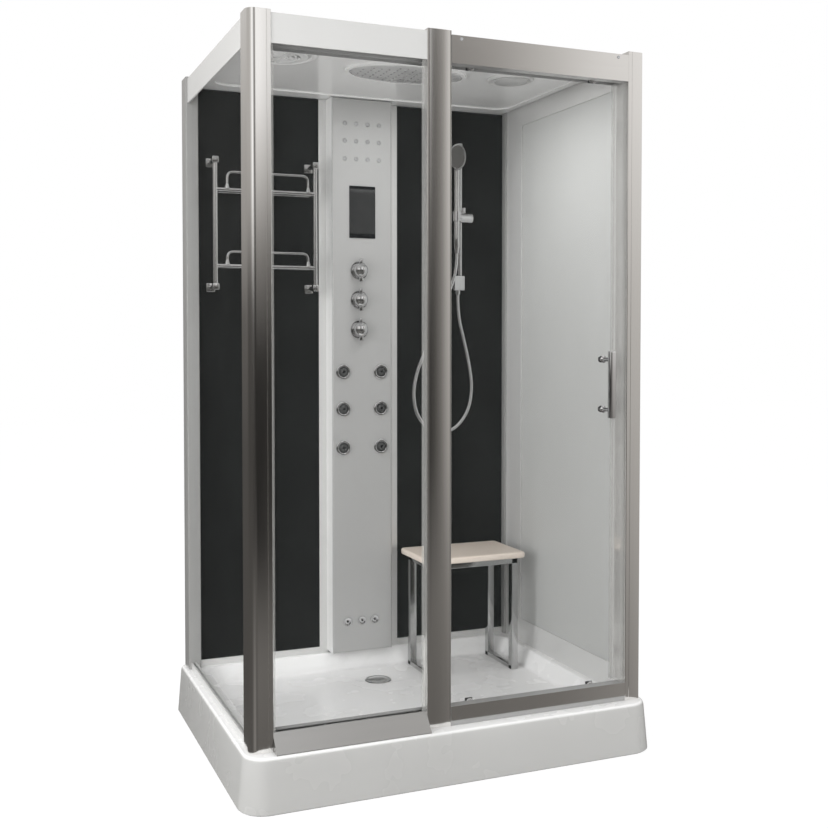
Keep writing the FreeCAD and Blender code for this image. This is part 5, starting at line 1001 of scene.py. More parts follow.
# ---------------------------------------------------------------- base
@dataclass
class ShowerTray(Assembly):
    """Flared skirt, flat rim and basin in one moulded shell, with the waste cover."""

    foot: tuple[float, ...] = (-0.650, 0.650, -0.490, 0.490)
    rim: tuple[float, ...] = (-0.636, 0.636, -0.476, 0.486)
    foot_corners: tuple[float, float] = (0.078, 0.044)
    rim_corners: tuple[float, float] = (0.064, 0.030)
    rim_height: float = 0.150
    rim_round: float = 0.010
    mouth: tuple[float, ...] = (-0.560, 0.560, -0.360, 0.412)
    mouth_corner: float = 0.080
    draft: float = 0.022
    floor_height: float = 0.090
    floor_round: float = 0.012
    lip: float = 0.007
    drain: tuple[float, float] = (0.0, 0.234)
    drain_hole: float = 0.0294
    drain_dish: float = 0.062
    cover_seat: float = 0.0902
    wall: float = 0.0055

    def ring(self, outline: tuple[float, ...], corners: tuple[float, float], z: float,
             inward: float = 0.0) -> np.ndarray:
        """One ring of the shell: a rounded rectangle at a height, drawn in by a distance.

        Args:
            outline: x0, x1, y0, y1.
            corners: Front and back corner radii.
            z: Its height.
            inward: How far it is drawn in.

        Returns:
            (n, 3) points.
        """
        x0, x1, y0, y1 = outline
        front, back = (max(c - inward, 0.004) for c in corners)
        flat = rounded_outline(x0 + inward, x1 - inward, y0 + inward, y1 - inward, front, back, 14)
        return np.column_stack([flat, np.full(len(flat), z)])

    def between(self, low: np.ndarray, high: np.ndarray, share: float) -> np.ndarray:
        """A ring a share of the way from one ring to another."""
        return low + (high - low) * share

    def shell(self) -> bpy.types.Object:
        """Rings from the foot up the skirt, over the rim's round, into the basin and to the waste hole.

        Returns:
            The object.
        """
        r, top = self.rim_round, self.rim_height
        foot = self.ring(self.foot, self.foot_corners, 0.0)
        rim = self.ring(self.rim, self.rim_corners, top)
        rings = [self.ring(self.foot, self.foot_corners, 0.0, 0.004), self.between(foot, rim, 0.02)]
        rings += [self.between(foot, rim, s) for s in (0.3, 0.6, 0.9)]
        for angle in np.linspace(0.25, math.pi / 2, 6):
            ring = self.ring(self.rim, self.rim_corners, top - r + r * math.sin(angle), r * (1 - math.cos(angle)))
            rings.append(ring)
        corners = (self.mouth_corner, self.mouth_corner)
        for angle in np.linspace(0.0, math.pi / 2 - 0.35, 6):
            out = self.lip * (1 - math.sin(angle))
            rings.append(self.ring(self.mouth, corners, top - self.lip * (1 - math.cos(angle)), -out))
        mouth = self.ring(self.mouth, corners, top - self.lip)
        low = self.ring(self.mouth, corners, self.floor_height, self.draft)
        rings += [self.between(mouth, low, s) for s in (0.15, 0.5, 0.75)]
        fr = self.floor_round
        for angle in np.linspace(0.3, math.pi / 2, 5):
            rings.append(self.ring(self.mouth, corners, self.floor_height + fr * (1 - math.sin(angle)),
                                   self.draft - fr * 0.45 + fr * (1 - math.cos(angle))))
        edge = rings[-1]
        dx, dy = self.drain
        away = edge[:, :2] - np.array(self.drain)
        angle = np.arctan2(away[:, 1], away[:, 0])
        for share in (0.25, 0.5, 0.75, 0.95):
            goal = np.column_stack([dx + self.drain_dish * np.cos(angle), dy + self.drain_dish * np.sin(angle)])
            flat = edge[:, :2] + (goal - edge[:, :2]) * share
            rings.append(np.column_stack([flat, np.full(len(flat), self.floor_height)]))
        for radius, z in ((0.060, 0.0), (0.050, -0.0002), (self.drain_hole + 0.001, -0.0002), (self.drain_hole, -0.001),
                          (self.drain_hole, -0.0055)):
            flat = np.column_stack([dx + radius * np.cos(angle), dy + radius * np.sin(angle)])
            rings.append(np.column_stack([flat, np.full(len(flat), self.floor_height + z)]))
        piece = skin("tray_shell", np.stack(rings), smooth_angle=40.0)
        # Painted shade: the skirt's rings get 1, fading to 0 over the rim's round, so the tray's outside is painted
        # darker than the basin.
        shade = np.zeros((len(rings), rings[0].shape[0]))
        shade[:6] = 1.0
        shade[6] = 0.6
        shade[7] = 0.25
        layer = piece.data.attributes.new("shade", "FLOAT", "POINT")
        layer.data.foreach_set("value", shade.ravel())
        solid = piece.modifiers.new("wall", "SOLIDIFY")
        solid.thickness = self.wall
        solid.offset = -1.0
        return piece

    def waste_cover(self) -> bpy.types.Object:
        """Domed cover turned from a profile, with a stepped edge.

        Returns:
            The object.
        """
        profile = [(0.0, 0.0), (0.040, 0.0), (0.0455, 0.0008), (0.046, 0.0020), (0.0445, 0.0032), (0.038, 0.0036),
                   (0.036, 0.0030), (0.034, 0.0036), (0.018, 0.0041), (0.0, 0.0042)]
        return turned("waste_cover_plate", profile, (*self.drain, self.cover_seat), (0, 0, 1), 48)

    def build(self) -> None:
        """Builds and dresses the tray."""
        self.dress(self.shell(), ACRYLIC, "acrylic_white", ("tray",))
        self.dress(self.waste_cover(), SATIN_CHROME, "chrome", ("drain_cover",), "waste_cover")


# ---------------------------------------------------------------- posts
@dataclass
class Posts(Assembly):
    """Five upright sections and their caps."""

    foot: float = 0.150
    top: float = 2.150
    crown: float = 0.0010

    def corner_outline(self, outer: float, inner: float, front: float, back: float, corner: float) -> np.ndarray:
        """Front corner section: one large quarter round outside, shallow flutes on its front face, eased corners.

        The points run counter-clockwise. A left post has outer below inner, and a right post is its mirror.

        Args:
            outer, inner: The section's sides in X.
            front, back: Its sides in Y.
            corner: Radius of the large round.

        Returns:
            (n, 2) points.
        """
        side = 1.0 if inner > outer else -1.0
        depth = back - front
        width = abs(inner - outer)
        turn = np.linspace(0.0, math.pi / 2, 24)
        big = np.column_stack([corner - corner * np.cos(turn), corner - corner * np.sin(turn)])
        flute = [(width - 0.014, 0.0), (width - 0.0134, 0.0008), (width - 0.0122, 0.0008), (width - 0.0116, 0.0)]
        ease = 0.0012
        rest = [(width - ease, 0.0), (width, ease), (width, depth - ease), (width - ease, depth), (ease, depth),
                (0.0, depth - ease)]
        points = np.concatenate([big, np.array(flute), np.array(rest)])
        outline = np.column_stack([outer + side * points[:, 0], front + points[:, 1]])
        return outline if side > 0 else outline[::-1]

    def plain_outline(self, x0: float, x1: float, y0: float, y1: float, crowned: bool) -> np.ndarray:
        """Plain section with round corners; where asked its front is a shallow parabola, highest in the middle.

        Args:
            x0, x1, y0, y1: The section's sides.
            crowned: Whether its front swells.

        Returns:
            (n, 2) points.
        """
        base = rounded_outline(x0, x1, y0, y1, 0.004, 0.004, 6)
        if not crowned:
            return base
        across = np.linspace(-1.0, 1.0, 25)
        swell = np.column_stack([(x0 + x1) / 2 + across * ((x1 - x0) / 2 - 0.005), y0 + self.crown * across ** 2])
        base[:, 1] = np.maximum(base[:, 1], y0 + self.crown)
        return np.concatenate([swell, base])

    def build(self) -> None:
        """Builds and dresses the posts."""
        sections = {
            "front_left_post": self.corner_outline(-0.620, -0.553, -0.435, -0.368, 0.026),
            "front_right_post": self.corner_outline(0.620, 0.567, -0.435, -0.368, 0.008),
            "middle_post": self.plain_outline(-0.099, -0.024, -0.435, -0.404, True),
            "back_left_post": self.plain_outline(-0.620, -0.578, 0.405, 0.478, False),
            "back_right_post": self.plain_outline(0.578, 0.620, 0.405, 0.478, False),
        }
        for name, outline in sections.items():
            section = upright(f"{name}_section", outline, self.foot, self.top)
            # The back posts take the darker copy of the aluminium, which is painted shade.
            self.dress(section, BACK_SATIN_PAINTED_SHADE if name.startswith("back") else UPRIGHT, "aluminium", (name,))


# ---------------------------------------------------------------- carried-over nodes
@dataclass
class CarriedNodes(Assembly):
    """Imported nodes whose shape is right: they only get a better finish."""

    finishes: dict[str, object] = field(default_factory=lambda: {
        "tray_frame": ZINC, "levelling_feet": ZINC, "drain_trap": NYLON, "front_pane_sill": SILL,
        "door_bottom_track": RAIL, "door_top_track": RAIL, "side_profiles": SATIN, "front_fixed_pane": GLASS,
        "left_side_pane": GLASS, "door_pane": GLASS, "right_wall_panel": FROSTED, "back_left_panel": BLACK_PANEL,
        "back_right_panel": BLACK_PANEL, "pane_seals": SEAL, "door_edge_seal": SEAL, "door_handle": CHROME,
        "roller_brackets": CHROME, "top_left_roller": NYLON, "top_right_roller": NYLON,
        "bottom_left_roller": NYLON, "bottom_right_roller": NYLON, "column_frame": SATIN, "column_panel": SILVER,
        "touch_panel": DISPLAY, "mixer_valve": CHROME, "temperature_knob": CHROME, "diverter_knob": CHROME,
        "flow_knob": CHROME, "jet_bodies": CHROME, "jet_nozzle_1": NOZZLE, "jet_nozzle_2": NOZZLE,
        "jet_nozzle_3": NOZZLE, "jet_nozzle_4": NOZZLE, "jet_nozzle_5": NOZZLE, "jet_nozzle_6": NOZZLE,
        "spray_nozzles": NOZZLE, "steam_outlets": CHROME, "water_pipes": PIPE, "steam_generator": ZINC,
        "towel_rack": SATIN_CHROME, "riser_rail": CHROME, "hose_outlet": CHROME, "shower_slider": CHROME,
        "hand_shower": SATIN_CHROME, "shower_hose": CHROME, "stool_frame": SATIN_CHROME, "stool_seat": TIMBER,
        "roof": ROOF_ACRYLIC, "rain_head": RAIN_FACE, "fan_housing": ROOF_ACRYLIC, "fan_rotor": NYLON,
        "ceiling_light": LENS, "fasteners": ZINC,
    })

    def build(self, nodes: dict[str, bpy.types.Object]) -> None:
        """Puts each node's finish in its material slots.

        Args:
            nodes: The frame's node objects by name.
        """
        for name, finish in self.finishes.items():
            mesh = nodes[name].data
            mesh.materials.clear()
            mesh.materials.append(PALETTE.get(finish))


# ---------------------------------------------------------------- hose
@dataclass
class ShowerHose(Assembly):
    """Limp metal hose in a loop from the handset to the outlet's nipple."""

    route: tuple[Vec, ...] = (
        (0.346, 0.338, 1.585), (0.346, 0.338, 1.528), (0.326, 0.346, 1.458), (0.294, 0.356, 1.380),
        (0.262, 0.364, 1.296), (0.228, 0.370, 1.214), (0.199, 0.373, 1.138), (0.189, 0.373, 1.058),
        (0.209, 0.371, 0.980), (0.273, 0.367, 0.927), (0.348, 0.363, 0.938), (0.404, 0.361, 1.005),
        (0.420, 0.361, 1.094), (0.407, 0.363, 1.185), (0.386, 0.367, 1.278), (0.365, 0.370, 1.362),
        (0.365, 0.370, 1.436),
    )
    radius: float = 0.007
    rib: float = 0.0034
    rib_depth: float = 0.0005
    length: float = 1.308
    blend_start: Vec = (-0.3324, 0.0, 0.1852)
    blend_end: Vec = (-0.4097, 0.0, 0.2283)

    def line(self) -> np.ndarray:
        """Points of the smooth line that the route controls.

        Returns:
            (n, 3) points.
        """
        curve = bpy.data.curves.new("hose_line", "CURVE")
        curve.dimensions = "3D"
        curve.resolution_u = 12
        spline = curve.splines.new("NURBS")
        spline.points.add(len(self.route) - 1)
        for point, place in zip(spline.points, self.route):
            point.co = (*place, 1.0)
        spline.order_u = 3
        spline.use_endpoint_u = True
        holder = bpy.data.objects.new("hose_line", curve)
        bpy.context.scene.collection.objects.link(holder)
        mesh = bpy.data.meshes.new_from_object(holder)
        co = np.empty(len(mesh.vertices) * 3)
        mesh.vertices.foreach_get("co", co)
        bpy.data.objects.remove(holder)
        bpy.data.meshes.remove(mesh)
        return co.reshape(-1, 3)

    def build(self) -> None:
        line = self.line()
        run = np.concatenate([[0.0], np.cumsum(np.linalg.norm(np.diff(line, axis=0), axis=1))])
        stations = np.linspace(0.0, run[-1], int(run[-1] / self.rib * 4))
        fine = np.stack([np.interp(stations, run, line[:, k]) for k in range(3)], axis=1)
        swell = self.radius - self.rib_depth * (0.5 + 0.5 * np.cos(2 * math.pi * stations / self.rib))
        piece = tube("hose", fine, swell, 14)
        piece.data.materials.append(PALETTE.get(CHROME))
        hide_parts("shower_hose")
        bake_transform(piece)
        LOG.info("hose, %d points", len(line))


# ---------------------------------------------------------------- column
def along_front(profile: list[tuple[float, float]]) -> list[tuple[float, float]]:
    """Turns (radius, y) pairs into the (radius, height) pairs of a turning whose axis points to the front."""
    return [(radius, -y) for radius, y in profile]


@dataclass
class ColumnFittings(Assembly):
    """Body jets with their swivel balls, rubber spray nozzles and low outlets, all turned about Y."""

    jet_xs: tuple[float, ...] = (-0.081, 0.060)
    jet_zs: tuple[float, ...] = (1.157, 1.026, 0.889)
    spray_xs: tuple[float, ...] = (-0.074, -0.032, 0.0105, 0.053)
    spray_zs: tuple[float, ...] = (2.028, 1.967, 1.905)
    outlet_xs: tuple[float, ...] = (-0.067, -0.0125, 0.035)
    outlet_z: float = 0.270
    jet: tuple = ((0.0, 0.4118), (0.006, 0.4118), (0.006, 0.385), (0.020, 0.385), (0.020, 0.3620), (0.0274, 0.3618),
                  (0.0277, 0.3602), (0.0270, 0.3576), (0.0248, 0.3560), (0.0215, 0.3556), (0.0186, 0.3564),
                  (0.0168, 0.3582), (0.0163, 0.3602), (0.0163, 0.381), (0.0, 0.381))
    spray: tuple = ((0.0026, 0.3717), (0.0026, 0.3618), (0.0078, 0.3618), (0.0079, 0.3606), (0.0068, 0.3588),
                    (0.0044, 0.3576), (0.0024, 0.3573), (0.0012, 0.3580), (0.0012, 0.3717))
    outlet: tuple = ((0.009, 0.3747), (0.009, 0.3618), (0.0158, 0.3618), (0.0162, 0.3605), (0.0152, 0.3588),
                     (0.0122, 0.3585), (0.0100, 0.3596), (0.0060, 0.3600), (0.0036, 0.3592), (0.0035, 0.3747))

    def ball(self) -> tuple:
        """Profile of a swivel ball: an arc cut flat in front and behind, with a ring round its bore.

        Returns:
            (radius, y) pairs.
        """
        angle = np.linspace(math.radians(46), math.radians(142), 12)
        arc = [(0.0159 * math.sin(a), 0.364 + 0.0159 * math.cos(a)) for a in angle]
        return ((0.0045, 0.3755), *arc, (0.0080, 0.3513), (0.0066, 0.3509), (0.0052, 0.3516), (0.0045, 0.3530),
                (0.0045, 0.3755))

    def several(self, name: str, profile: tuple, places: list[tuple[float, float]], steps: int) -> bpy.types.Object:
        """The same turning at several places on the column's face.

        Args:
            name: The object's name.
            profile: (radius, y) pairs.
            places: (x, z) of each.
            steps: Points on each circle.

        Returns:
            The pieces as one object.
        """
        shells = [turned(f"{name}_{i}", along_front(profile), (x, 0.0, z), (0, -1, 0), steps)
                  for i, (x, z) in enumerate(places)]
        return join(name, shells, 40.0)

    def build(self) -> None:
        """Builds and dresses the fittings."""
        jets = [(x, z) for x in self.jet_xs for z in self.jet_zs]
        self.dress(self.several("jet_sockets", self.jet, jets, 40), CHROME, "chrome", ("jet_bodies",))
        for i, place in enumerate(jets, 1):
            ball = self.several(f"jet_ball_{i}", self.ball(), [place], 32)
            self.dress(ball, NOZZLE, "nozzle_rubber", (f"jet_nozzle_{i}",), f"jet_{i}")
        sprays = [(x, z) for x in self.spray_xs for z in self.spray_zs]
        self.dress(self.several("spray_tips", self.spray, sprays, 20), SPRAY, "nozzle_rubber", ("spray_nozzles",))
        outlets = [(x, self.outlet_z) for x in self.outlet_xs]
        self.dress(self.several("low_outlets", self.outlet, outlets, 32), CHROME, "chrome", ("steam_outlets",))


@dataclass
class Knobs(Assembly):
    """Three domed valve knobs, each with a fluted band and a rounded tab above and below."""

    x: float = -0.022
    controls: tuple = (("temperature", 1.514), ("diverter", 1.411), ("flow", 1.306))
    back: float = 0.3576
    flutes: int = 24
    flute_depth: float = 0.0005
    profile: tuple = ((0.00405, 0.0), (0.0225, 0.0), (0.0248, 0.0012), (0.0250, 0.0030), (0.0240, 0.0042),
                      (0.0244, 0.0056), (0.0244, 0.0190), (0.0238, 0.0205), (0.0248, 0.0215), (0.0242, 0.0255),
                      (0.0222, 0.0300), (0.0186, 0.0340), (0.0138, 0.0370), (0.0080, 0.0388), (0.0, 0.0394))
    fluted_rows: tuple[int, int] = (5, 6)
    spindle_bore: float = 0.00405
    bore_depth: float = 0.0242
    tab_half: float = 0.007
    tab_reach: float = 0.041
    tab_front: float = 0.0250

    def hub(self, name: str, z: float) -> bpy.types.Object:
        """Domed hub: the turned profile, with the fluted band's radius rippled round the axis.

        Args:
            name: The object's name.
            z: Height of its axis.

        Returns:
            The object.
        """
        angle = np.linspace(0.0, 2 * math.pi, 96, endpoint=False)
        bore = ((0.0, self.bore_depth), (self.spindle_bore, self.bore_depth))
        radius, depth = np.array(bore + self.profile).T
        radii = np.repeat(radius[:, None], len(angle), axis=1)
        first, last = (row + len(bore) for row in self.fluted_rows)
        radii[first:last + 1] -= self.flute_depth * (0.5 + 0.5 * np.cos(self.flutes * angle))
        grid = np.stack([self.x + radii * np.cos(angle), np.broadcast_to(self.back - depth[:, None], radii.shape),
                         z + radii * np.sin(angle)], axis=-1)
        return skin(name, grid)

    def tab(self, name: str, z: float, way: float) -> bpy.types.Object:
        """Tab that leaves the hub and ends in a half round, with all its edges eased.

        Args:
            name: The object's name.
            z: Height of the knob's axis.
            way: 1 above the hub, -1 below.

        Returns:
            The object.
        """
        near, far = sorted((z + way * 0.018, z + way * self.tab_reach))
        return block(name, (self.x - self.tab_half, self.back - self.tab_front, near),
                     (self.x + self.tab_half, self.back - 0.0085, far), 0.0042, 5)

    def build(self) -> None:
        """Builds and dresses the knobs."""
        for title, z in self.controls:
            shells = [self.hub("hub", z), self.tab("tab_up", z, 1.0), self.tab("tab_down", z, -1.0)]
            knob = join(f"{title}_handle", shells)
            self.dress(knob, CHROME, "chrome", (f"{title}_knob",), f"{title}_control")


# ---------------------------------------------------------------- hand shower
@dataclass
class HandShower(Assembly):
    """Slim handle with a round head of rubber tips, held on the sliding holder."""

    body: str = "shower_holder"
    axis: tuple[float, float] = (0.346, 0.338)
    handle: tuple = ((0.0, 1.585), (0.0082, 1.585), (0.0088, 1.5862), (0.0092, 1.5960), (0.0108, 1.6005),
                     (0.0118, 1.603), (0.0119, 1.640), (0.0112, 1.700), (0.0112, 1.740), (0.0108, 1.800),
                     (0.0112, 1.860), (0.0122, 1.895), (0.0124, 1.912), (0.0105, 1.924), (0.0, 1.930))
    head_centre: Vec = (0.3414, 0.3252, 1.9312)
    head_half: tuple[float, float] = (0.0310, 0.0465)
    tilt_degrees: float = 12.0
    turn_degrees: float = -20.0
    head: tuple = ((0.020, -0.0004), (0.0092, 0.0002), (0.0048, 0.0040), (0.0014, 0.0080), (0.0002, 0.0105),
                   (0.0, 0.0165), (0.0007, 0.0193), (0.0024, 0.0212), (0.0042, 0.0216), (0.0052, 0.0207),
                   (0.014, 0.0207))
    tip_grid: tuple[float, int, int] = (0.0095, 2, 4)

    def facing(self) -> np.ndarray:
        """Unit vector out of the head's face: the front, turned about Z and tilted down."""
        turn, tilt = math.radians(self.turn_degrees), math.radians(self.tilt_degrees)
        return np.array((math.sin(turn) * math.cos(tilt), -math.cos(turn) * math.cos(tilt), -math.sin(tilt)))

    def axes(self) -> tuple[np.ndarray, np.ndarray, np.ndarray]:
        """Out of the face, across it and up it.

        Returns:
            Three unit vectors.
        """
        out = self.facing()
        side = np.cross(out, (0.0, 0.0, 1.0))
        side /= np.linalg.norm(side)
        return out, side, np.cross(side, out)

    def disc(self) -> bpy.types.Object:
        """Oval head: ellipses drawn in by an inset at growing depths along the facing.

        Returns:
            The object.
        """
        out, side, up = self.axes()
        a, b = self.head_half
        angle = np.linspace(0.0, 2 * math.pi, 56, endpoint=False)[:, None]
        grid = [np.array(self.head_centre) + out * depth + (a - inset) * np.cos(angle) * side
                + (b - inset) * np.sin(angle) * up for inset, depth in self.head]
        return skin("disc", np.stack(grid), lids=(True, True))

    def tips(self) -> bpy.types.Object:
        """Staggered rows of small rubber tips on the head's face.

        Returns:
            The tips as one object.
        """
        out, side, up = self.axes()
        a, b = self.head_half
        pitch, across, along = self.tip_grid
        face = np.array(self.head_centre) + out * 0.0206
        shells = []
        for i in range(-across, across + 1):
            for j in range(-along, along + 1):
                dx, dz = (i + 0.5 * (j % 2)) * pitch, j * pitch
                if (dx / (a - 0.008)) ** 2 + (dz / (b - 0.008)) ** 2 < 1:
                    profile = [(0.0017, 0.0), (0.0016, 0.0010), (0.0009, 0.0018)]
                    shells.append(turned("tip", profile, tuple(face + dx * side + dz * up), tuple(out), 8))
        return join("hand_shower_tips", shells)

    def build(self) -> None:
        """Builds and dresses the hand shower."""
        handle = turned("grip", list(self.handle), (*self.axis, 0.0), (0, 0, 1), 28)
        piece = join("hand_shower_body", [handle, self.disc()])
        self.dress(piece, SATIN_CHROME, "plated_plastic", ("hand_shower",))
        self.dress(self.tips(), NOZZLE, "nozzle_rubber")


# ---------------------------------------------------------------- towel rack
@dataclass
class TowelRack(Assembly):
    """Two uprights on wall plates, two rod shelves, and a bent guard above each."""

    xs: tuple[float, float] = (-0.535, -0.188)
    foot: float = 1.448
    top: float = 1.870
    front: float = 0.346
    wall: float = 0.4308
    plate: float = 0.030
    plate_thick: float = 0.008
    tube_radius: float = 0.008
    cube: float = 0.022
    shelves: tuple = ((1.772, 0.060), (1.518, 0.048))
    rod_ys: tuple = ((0.346, 0.007), (0.3755, 0.005), (0.405, 0.005))
    guard_xs: tuple[float, float] = (-0.495, -0.214)
    guard_radius: float = 0.0045
    bend: float = 0.022
    cone: tuple = ((0.0102, 0.0), (0.0100, 0.0020), (0.0088, 0.0050), (0.0066, 0.0130), (0.0050, 0.0175),
                   (0.0046, 0.0180))

    def rod(self, a: Vec, b: Vec, radius: float) -> bpy.types.Object:
        """Straight round rod between two points."""
        steps = np.linspace(0.0, 1.0, 3)[:, None]
        return tube("rod", np.array(a) + (np.array(b) - np.array(a)) * steps, radius, 18)

    def shelf(self, z: float, rise: float) -> list[bpy.types.Object]:
        """Rods along X, two side bars, and the guard with a cone at each foot.

        Args:
            z: Height of the rods.
            rise: Height of the guard above them.

        Returns:
            The shelf's pieces.
        """
        left, right = self.xs
        rods = [self.rod((left, y, z), (right, y, z), r) for y, r in self.rod_ys]
        rods += [self.rod((x, self.front, z), (x, 0.412, z), 0.006) for x in self.xs]
        a, b = self.guard_xs
        route = [(a, self.front, z), (a, self.front, z + rise), (b, self.front, z + rise), (b, self.front, z)]
        guard = tube("guard", bent_path(route, self.bend, 8), self.guard_radius, 14)
        feet = [turned("cone", list(self.cone), (x, self.front, z + 0.003), (0, 0, 1), 20) for x in self.guard_xs]
        return [*rods, guard, *feet]

    def build(self) -> None:
        """Builds and dresses the rack."""
        shells = []
        for x in self.xs:
            shells.append(self.rod((x, self.front, self.foot), (x, self.front, self.top), self.tube_radius))
            for z in (self.foot, self.top):
                half, c = self.plate / 2, self.cube / 2
                shells.append(self.rod((x, self.front, z), (x, self.wall - 0.001, z), self.tube_radius))
                shells.append(block("plate", (x - half, self.wall - self.plate_thick, z - half),
                                    (x + half, self.wall, z + half), 0.0022, 4))
                shells.append(block("cube", (x - c, self.front - c, z - c), (x + c, self.front + c, z + c), 0.003, 4))
        for z, rise in self.shelves:
            shells += self.shelf(z, rise)
        self.dress(join("towel_rack_tubes", shells), SATIN_CHROME, "chrome", ("towel_rack",))


# ---------------------------------------------------------------- stool
@dataclass
class Stool(Assembly):
    """Wooden seat with rounded edges on two joined side frames of square tube."""

    body: str = "stool"
    seat: tuple[float, ...] = (0.146, 0.530, 0.143, 0.393)
    seat_low: float = 0.492
    seat_top: float = 0.514
    corner: float = 0.014
    round: float = 0.007
    leg: float = 0.025
    inset: tuple[float, float] = (0.023, 0.017)
    foot: float = 0.0903
    runner: float = 0.015
    rail: float = 0.020

    def board(self) -> bpy.types.Object:
        """Seat board: rounded rectangles drawn in over quarter circles at the lower and upper edge.

        Returns:
            The object.
        """
        x0, x1, y0, y1 = self.seat
        turn = np.linspace(0.0, math.pi / 2, 7)
        inset, rise = self.round * (1 - np.sin(turn)), self.round * (1 - np.cos(turn))
        levels = list(zip(inset, self.seat_low + rise)) + list(zip(inset[::-1], self.seat_top - rise[::-1]))
        grid = []
        for inward, z in levels:
            corner = self.corner - inward * 0.8
            flat = rounded_outline(x0 + inward, x1 - inward, y0 + inward, y1 - inward, corner, corner, 8)
            grid.append(np.column_stack([flat, np.full(len(flat), z)]))
        return skin("stool_board", np.stack(grid), lids=(True, True), smooth_angle=50.0)

    def frame(self) -> bpy.types.Object:
        """Legs, runners and rails as eased square tubes.

        Returns:
            The object.
        """
        x0, x1, y0, y1 = self.seat
        x0, x1 = x0 + self.inset[0], x1 - self.inset[0]
        y0, y1 = y0 + self.inset[1], y1 - self.inset[1]
        z0, z1, t = self.foot, self.seat_low - 0.0002, self.leg
        bars = []
        for x in (x0, x1 - t):
            bars += [((x, y, z0), (x + t, y + t, z1)) for y in (y0, y1 - t)]
            bars.append(((x, y0 + 0.002, z0), (x + t, y1 - 0.002, z0 + self.runner)))
            bars.append(((x, y0 + 0.002, z1 - self.rail), (x + t, y1 - 0.002, z1)))
        bars += [((x0 + 0.002, y, z1 - self.rail), (x1 - 0.002, y + t, z1)) for y in (y0, y1 - t)]
        return join("stool_tubes", [block("bar", low, high, 0.0016, 4) for low, high in bars], 50.0)

    def build(self) -> None:
        """Builds and dresses the stool."""
        self.dress(self.board(), TIMBER, "seat_wood", ("stool_seat",))
        self.dress(self.frame(), STOOL_CHROME, "chrome", ("stool_frame",))


# ---------------------------------------------------------------- door
@dataclass
class DoorFurniture(Assembly):
    """Bar handle on two collared standoffs, with rosettes on the inside of the glass."""

    body: str = "door"
    x: float = 0.507
    foot: float = 1.030
    length: float = 0.205
    bar: tuple[float, float] = (0.022, 0.015)
    bar_back: float = -0.438
    glass: tuple[float, float] = (-0.394, -0.388)
    heights: tuple[float, float] = (1.0555, 1.2095)

    def standoff(self, z: float) -> bpy.types.Object:
        """Turned post from the bar through the glass to the inner rosette.

        Args:
            z: Height of its axis.

        Returns:
            The object.
        """
        front, back = self.glass
        profile = [(0.0, -0.001), (0.0068, -0.001), (0.0068, 0.036), (0.0085, 0.0372), (0.0110, 0.0390),
                   (0.0110, 0.0436), (0.0069, 0.0437), (0.0069, 0.0502), (0.0110, 0.0503), (0.0112, 0.0545),
                   (0.0098, 0.0568), (0.0050, 0.0574), (0.0, 0.0575)]
        return turned("standoff", profile, (self.x, self.bar_back, z), (0, 1, 0), 28)

    def build(self) -> None:
        """Builds and dresses the handle."""
        width, thick = self.bar
        low = (self.x - width / 2, self.bar_back - thick, self.foot)
        high = (self.x + width / 2, self.bar_back, self.foot + self.length)
        shells = [block("bar", low, high, 0.0034, 5)] + [self.standoff(z) for z in self.heights]
        self.dress(join("door_pull", shells), CHROME, "chrome", ("door_handle",))


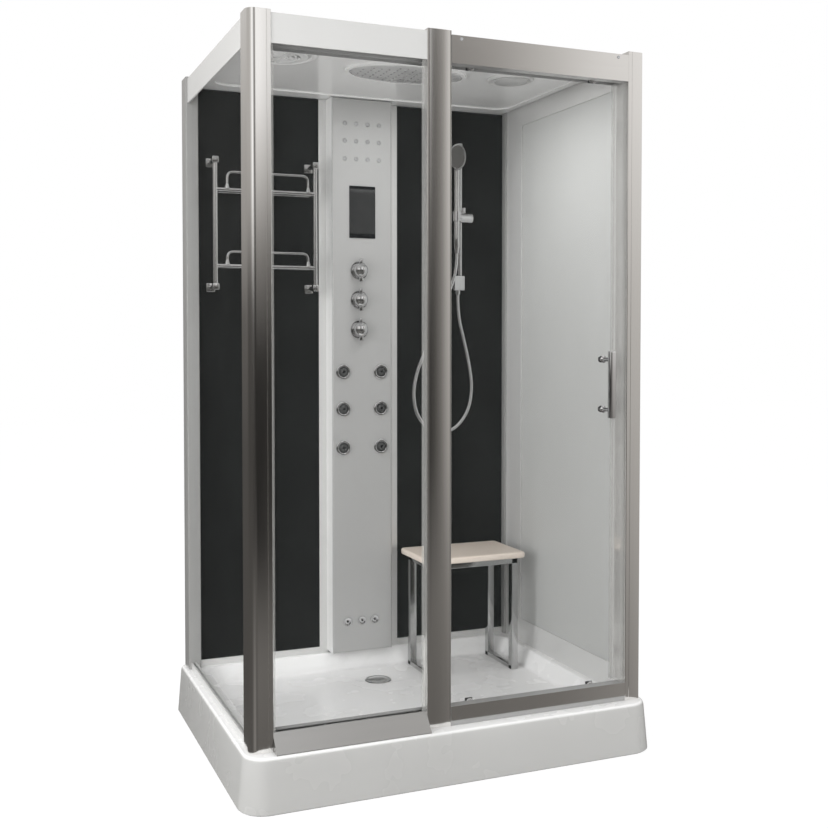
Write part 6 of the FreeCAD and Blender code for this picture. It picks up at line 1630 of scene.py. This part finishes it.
# ---------------------------------------------------------------- roof
@dataclass
class RoofFittings(Assembly):
    """Oval rain head with rubber nubs, and the ceiling light with its ring and domed lens."""

    oval_centre: tuple[float, float] = (0.0, -0.030)
    oval: tuple[float, float] = (0.186, 0.104)
    oval_top: float = 2.1218
    oval_thick: float = 0.009
    pitch: float = 0.026
    inlet: tuple[float, float] = (-0.022, -0.030)
    light: tuple[float, float] = (0.347, -0.081)
    fan: tuple[float, float] = (-0.429, -0.093)
    ring_profile: tuple = ((0.0880, 2.1219), (0.1080, 2.1219), (0.1078, 2.1190), (0.1055, 2.1165), (0.1010, 2.1155),
                           (0.0940, 2.1155), (0.0900, 2.1166), (0.0882, 2.1190))
    light_profile: tuple = ((0.0, 2.1438), (0.0598, 2.1438), (0.0598, 2.1218), (0.0760, 2.1218), (0.0762, 2.1200),
                            (0.0750, 2.1162), (0.0722, 2.1138), (0.0680, 2.1130), (0.0640, 2.1138), (0.0605, 2.1156),
                            (0.0575, 2.1170), (0.0560, 2.1172))
    lens_profile: tuple = ((0.0, 2.1172), (0.0566, 2.1172), (0.0560, 2.1140), (0.0520, 2.1105), (0.0440, 2.1073),
                           (0.0320, 2.1050), (0.0180, 2.1039), (0.0, 2.1035))

    def plate(self) -> bpy.types.Object:
        """Oval plate: ellipses at several heights, with a round lower edge and a shallow ring in its face.

        Returns:
            The object.
        """
        a, b = self.oval
        low = self.oval_top - self.oval_thick
        rings = [(0.004, self.oval_top), (0.0, self.oval_top - 0.001), (0.0, low + 0.0045), (0.0012, low + 0.0018),
                 (0.0040, low), (0.0110, low - 0.0002), (0.0125, low + 0.0008), (0.0140, low), (0.06, low)]
        angle = np.linspace(0.0, 2 * math.pi, 96, endpoint=False)
        grid = [np.stack([self.oval_centre[0] + (a - inward) * np.cos(angle),
                          self.oval_centre[1] + (b - inward) * np.sin(angle), np.full_like(angle, z)], axis=1)
                for inward, z in rings]
        return skin("rain_plate", np.stack(grid), lids=(True, True))

    def nubs(self) -> bpy.types.Object:
        """Rows of turned rubber nubs inside the plate's rim, and the inlet's neck above.

        Returns:
            The nubs and the neck as one object.
        """
        a, b = self.oval
        low = self.oval_top - self.oval_thick
        neck = [(0.0099, 0.0), (0.0099, 0.0052)]
        shells = [turned("neck", neck, (*self.inlet, self.oval_top - 0.001), (0, 0, 1), 24)]
        for i in range(-int(a // self.pitch), int(a // self.pitch) + 1):
            for j in range(-int(b // self.pitch), int(b // self.pitch) + 1):
                dx, dy = i * self.pitch, j * self.pitch
                if (dx / (a - 0.018)) ** 2 + (dy / (b - 0.018)) ** 2 < 1:
                    place = (self.oval_centre[0] + dx, self.oval_centre[1] + dy, low + 0.0005)
                    profile = [(0.0034, 0.0), (0.0030, 0.0012), (0.0022, 0.0028), (0.0012, 0.0032), (0.0, 0.0026)]
                    shells.append(turned("nub", profile, place, (0, 0, -1), 12))
        return join("rain_nubs", shells)

    def fan_ring(self) -> bpy.types.Object:
        """Raised moulding round the fan: a closed (radius, height) profile turned about Z.

        Returns:
            The object.
        """
        radius, height = np.array(self.ring_profile).T
        angle = np.linspace(0.0, 2 * math.pi, 72, endpoint=False)
        x, y = self.fan
        grid = np.stack([x + radius[:, None] * np.cos(angle), y + radius[:, None] * np.sin(angle),
                         np.broadcast_to(height[:, None], (len(radius), len(angle)))], axis=-1)
        return skin("fan_ring", grid, close_rows=True)

    def build(self) -> None:
        """Builds and dresses the fittings."""
        self.dress(self.plate(), RAIN_FACE, "rain_plastic", ("rain_head",))
        self.dress(self.nubs(), SPRAY, "nozzle_rubber")
        self.dress(self.fan_ring(), ROOF_ACRYLIC, "acrylic_white")
        lights = (("lamp_body", self.light_profile, RING), ("lamp_dome", self.lens_profile, LENS))
        for name, profile, finish in lights:
            piece = turned(name, list(profile), (*self.light, 0.0), (0, 0, 1), 56)
            self.dress(piece, finish, "lamp_plastic", ("ceiling_light",))


def main() -> None:
    """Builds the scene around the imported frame."""
    logging.basicConfig(level=logging.INFO, format="%(message)s")
    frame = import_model()
    Studio().build()
    CarriedNodes().build(frame["nodes"])
    for assembly in (ShowerHose(), ShowerTray(), Posts(), ColumnFittings(), Knobs(), HandShower(), TowelRack(), Stool(),
                     DoorFurniture(), RoofFittings()):
        assembly.build()


if __name__ == "__main__":
    main()
